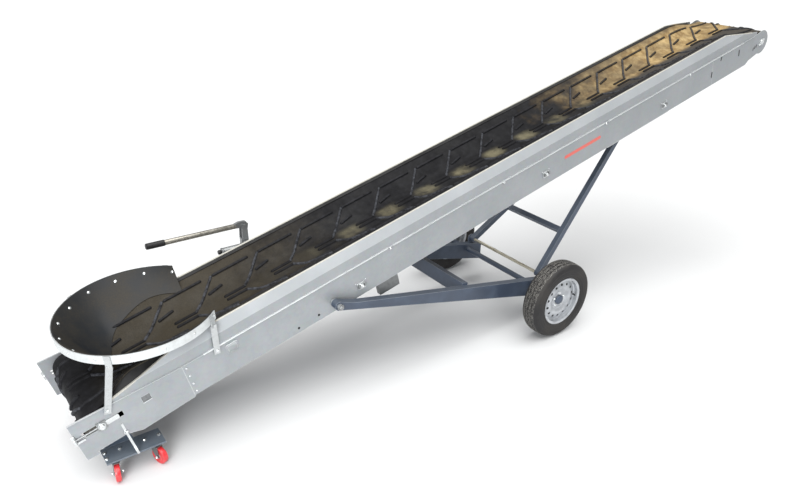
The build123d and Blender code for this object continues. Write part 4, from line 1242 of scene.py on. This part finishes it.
# %% Cover, pane and adjuster
COVER_U, COVER_W, PANE_U, PANE_W = -2.394, -0.058, -2.8925, -0.063
# half of the width and half of the height
COVER_FOOT, COVER_TOP, COVER_LIP = (0.036, 0.030), (0.026, 0.021), (0.033, 0.0028)
PANE_HALF, PANE_LIP, SLIDE = (0.0215, 0.0180), (0.025, 0.0022), (0.046, 0.0145)
COVER_HIGH, SLIDE_SHIFT, PLATE_BOLT, PLATE_BOLT_BACK = 0.005, 0.045, 0.011, 0.136
NUT = [(0, 0.0185), (0.003, 0.0185), (0.004, 0.0150), (0.015, 0.0146), (0.0175, 0.0120), (0.0175, 0.0060),
       (0.0155, 0.0050), (0.0155, 0.001)]
END_PLATE = [(-0.146, 0.030), (-0.132, 0.030), (-0.132, -0.016), (-0.090, -0.016), (-0.090, -0.028),
             (-0.146, -0.028)]
cover_shape, pane_shape, adjust_shape = Shape(), Shape(), Shape()
for hand, out in SIDES:
    cover_foot = square_on_panel(COVER_U, hand, COVER_W, *COVER_FOOT)
    cover_top = square_on_panel(COVER_U, hand, COVER_W, *COVER_TOP, COVER_HIGH)
    cover_lip = square_on_panel(COVER_U, hand, COVER_W + 0.0305, *COVER_LIP, 0.0, 0.3)
    pane = square_on_panel(PANE_U, hand, PANE_W, *PANE_HALF, -0.0022, 0.12)
    pane_lip = square_on_panel(PANE_U, hand, PANE_W - 0.0205, *PANE_LIP, 0, 0.3)
    slide = square_on_panel(TAIL_U + SLIDE_SHIFT, hand, TAIL_W, *SLIDE, 0, 0.3)
    cover_shape.plate(cover_foot, out * COVER_HIGH, 0.004)
    cover_shape.plate(cover_top, out * 0.0015, 0.001)
    adjust_shape.plate(cover_lip, out * 0.006, 0.001)
    pane_shape.plate(pane, out * 0.001)
    adjust_shape.plate(pane_lip, out * 0.002)
    adjust_shape.plate(slide, out * 0.0035, 0.001)
    adjust_shape.turned(outside(TAIL_U, hand, TAIL_W, 0.008), out, NUT, 26)
    end_plate = [outside(TAIL_U + a, hand, TAIL_W + b, 0.003) for a, b in END_PLATE]
    adjust_shape.plate(end_plate, out * 0.0045, 0.001)
    hex_bolt(adjust_shape, outside(TAIL_U - PLATE_BOLT_BACK, hand, TAIL_W, 0.005), -ALONG, PLATE_BOLT)
cover_shape.make("pressed_covers", "chassis", SHEET, "galvanised")
pane_shape.make("grey_panes", "chassis", PANE, "galvanised")
adjust_shape.make("belt_adjusters", "chassis", FASTENER, "zinc")

# %% [markdown]
# The near panel bears a long, narrow strip of coral foil with round ends. It could be a colour in
# the panel's own finish, but a thin piece keeps its edge crisp from near and far, and the panel's
# finish stays simple.

# %% Blank strip
STRIP_FROM, STRIP_TO, STRIP_W, STRIP_HALF, STRIP_STEPS, FOIL = 0.245, 0.605, -0.094, 0.0125, 8, 0.0005


def foil_finish():
    f = Finish("coral_foil", 0.4, 0.0, Coat_Weight=0.3, Coat_Roughness=0.25)
    f.colour(f.mix(f.band(f.noise(30.0, 5.0, 0.7), 0.4, 0.75), tone(214, 92, 84), tone(202, 104, 88)))
    f.bump(f.noise(180.0, 2.0), 0.05, 0.0003)
    return f.material


outline = []
for centre, first in ((STRIP_TO, -pi / 2), (STRIP_FROM, pi / 2)):
    for k in range(STRIP_STEPS + 1):
        a = first + pi * k / STRIP_STEPS
        outline.append(outside(centre + STRIP_HALF * cos(a), -1, STRIP_W + STRIP_HALF * sin(a), 0.0002))
strip = Shape().plate(outline, Vector((0, -FOIL, 0)))
strip.make("blank_strip", "chassis", foil_finish(), "red_wheel")

# %% [markdown]
# Bolts of the undercarriage are bright against its slate paint. The ones at the pivot and at the knee
# clamp real pins. Their places could be typed, but they are read from the solids' boxes, so they
# sit on those pins' ends even if the model changes.

# %% Undercarriage bolts
PIN_SUNK, PIVOT_BOLT, KNEE_BOLT = 0.0004, 0.026, 0.020


def pin_end(node, hand):
    """The middle of a pin's end face, just inside it."""
    low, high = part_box(node)
    middle = (low + high) / 2
    return Vector((middle.x, hand * (abs(low.y) - PIN_SUNK), middle.z))


pivot_caps, knee_bolts = Shape(), Shape()
for hand, out in SIDES:
    hex_bolt(pivot_caps, pin_end("pivot_pin_near", hand), out, PIVOT_BOLT)
    hex_bolt(knee_bolts, pin_end("knee_rod", hand), out, KNEE_BOLT)
pivot_caps.make("pivot_caps", "chassis", DULL_CAST, "zinc")
knee_bolts.make("knee_bolts", "undercarriage", FASTENER, "zinc")

# %% [markdown]
# Five bolts hold each caster plate, the casters and the thin stay on it. They are hexagon heads with
# washers like the others, placed from the photograph on the plate's upper face, and turned a little
# from one to the next, because nobody lines bolts up.

# %% Bolts of the caster plates
DECK_TOP, DECK_BOLT = 0.145, 0.015
DECK_BOLTS = [(-3.021, 0.242), (-2.946, 0.249), (-2.818, 0.256), (-2.742, 0.257), (-3.024, 0.290)]
deck = Shape()
for hand, out in SIDES:
    for x, y in DECK_BOLTS:
        hex_bolt(deck, from_axle(x, hand * y, DECK_TOP), (0, 0, 1), DECK_BOLT, x * 9)
deck.make("deck_bolts", "chassis", FASTENER, "zinc")

# %% [markdown]
# The hand pump on the far side has a long lever: a steel tube with a ribbed black grip at its end.
# The solid lever inside is a thinner bar, so the tube is turned round it, and both ride on the
# lever's body. The grip's ribs are in its outline, which is simpler than cutting rings into a tube.

# %% The pump's lever and grip
lever_low, lever_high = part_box("pump_lever")
LEVER_X, LEVER_Y, LEVER_Z = -1.890, (lever_low.y + lever_high.y) / 2, 0.944
GRIP_FROM, GRIP_TO, GRIP_R, RIBS = -0.492, -0.604, 0.0190, 12
GRIP_LONG = abs(GRIP_TO - GRIP_FROM)
RIB = [(0, 0.0002), (0.0045, 0.0002), (0.0055, -0.0009), (0.0075, -0.0009)]
TUBE_FROM, TUBE_R, TUBE_LONG = -0.050, 0.0162, 0.448
LEVER_STEEL = steel_finish("lever_steel", tone(170, 167, 158), tone(152, 148, 139), 0.34)

profile = [(0, 0.0095), (0.001, GRIP_R - 0.001)]
for k in range(RIBS):
    at = 0.006 + (GRIP_LONG - 0.014) * k / RIBS
    profile += [(at + a, GRIP_R + r) for a, r in RIB]
profile += [(GRIP_LONG - 0.0055, GRIP_R), (GRIP_LONG - 0.001, GRIP_R - 0.004), (GRIP_LONG, 0.004)]
grip_start = from_axle(LEVER_X + GRIP_FROM, LEVER_Y, LEVER_Z + 0.0039)
grip = Shape().turned(grip_start, Vector((-0.2, 0, 0.002)), profile, 24)
grip.make("lever_grip", "lever", GRIP, "cylinder_paint", 40)
tube_start = from_axle(LEVER_X + TUBE_FROM, LEVER_Y, LEVER_Z + 0.0003)
tube_profile = [(0, 0.0150), (0.002, TUBE_R), (TUBE_LONG, TUBE_R), (TUBE_LONG, 0.012)]
tube = Shape().turned(tube_start, grip_start - tube_start, tube_profile, 28)
tube.make("lever_tube", "lever", LEVER_STEEL, "zinc", 40)

# %% [markdown]
# The lever's clamp head, the pump's two side plates and the knob of its release valve are cast or
# turned. Sculpting them would give rounder castings, but they are small in every view, so softened
# plates and turned forms do. The clamp swings with the lever, and the rest stays on the chassis.

# %% The pump's clamp, ears and knob
CLAMP = [(0.026, -0.022), (0.030, 0.004), (0.014, 0.024), (-0.030, 0.026), (-0.062, 0.014), (-0.064, -0.010),
         (-0.030, -0.014), (-0.012, -0.026)]
CLAMP_HALF = 0.0125
clamp = Shape()
head = [from_axle(LEVER_X + a, LEVER_Y - CLAMP_HALF, LEVER_Z + b) for a, b in CLAMP]
clamp.plate(head, Vector((0, 2 * CLAMP_HALF, 0)), 0.003)
hex_bolt(clamp, from_axle(LEVER_X, LEVER_Y + CLAMP_HALF, LEVER_Z), (0, 1, 0), 0.015)
clamp.make("lever_clamp", "lever", DULL_CAST, "zinc")

EAR = [(0.018, -0.088), (0.015, -0.006), (0.006, 0.012), (-0.010, 0.012), (-0.020, -0.006), (-0.023, -0.088)]
EAR_SIDES, EAR_PLATE = (-0.0235, 0.0205), 0.005
BARREL_END = [(0, 0.0225), (0.006, 0.0245), (0.012, 0.0245), (0.015, 0.020)]
KNOB = [(0, 0.006), (0.004, 0.0125), (0.008, 0.0145), (0.017, 0.0145), (0.021, 0.0125), (0.0225, 0.006)]
PUMP_Y, PUMP_DOWN, BARREL_BACK, KNOB_BACK = LEVER_Y - 0.009, 0.144, 0.1445, 0.1590
BACKWARD = Vector((-1, 0, 0))
pump = Shape()
for y in EAR_SIDES:
    ear = [from_axle(LEVER_X + a, PUMP_Y + y, LEVER_Z + b) for a, b in EAR]
    pump.plate(ear, Vector((0, EAR_PLATE, 0)), 0.0015)
pump.turned(from_axle(LEVER_X - BARREL_BACK, PUMP_Y, LEVER_Z - PUMP_DOWN), BACKWARD, BARREL_END, 28)
pump.make("pump_fittings", "chassis", DULL_CAST, "zinc")
knob = Shape().turned(from_axle(LEVER_X - KNOB_BACK, PUMP_Y, LEVER_Z - PUMP_DOWN), BACKWARD, KNOB, 22)
knob.make("release_knob", "chassis", GRIP, "cylinder_paint")

# %% [markdown]
# The floor is plain. It still gets a finish of its own, with a very faint unevenness, because a
# perfectly even tone looks like an empty background and not like a floor.

# %% Pale floor finish
pale = Finish("pale_floor", 0.75)
pale.colour(pale.mix(pale.noise(0.8, 3.0), tone(206, 207, 208), tone(210, 211, 212)))
dress(floor_object, pale.material)
print("floor finish:", pale.material.name)

# %% [markdown]
# At the end the box of the dressed model is measured. Dressing a model doesn't change its size, so
# this box and the box of the solids have to agree.

# %% The last lines
low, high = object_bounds()
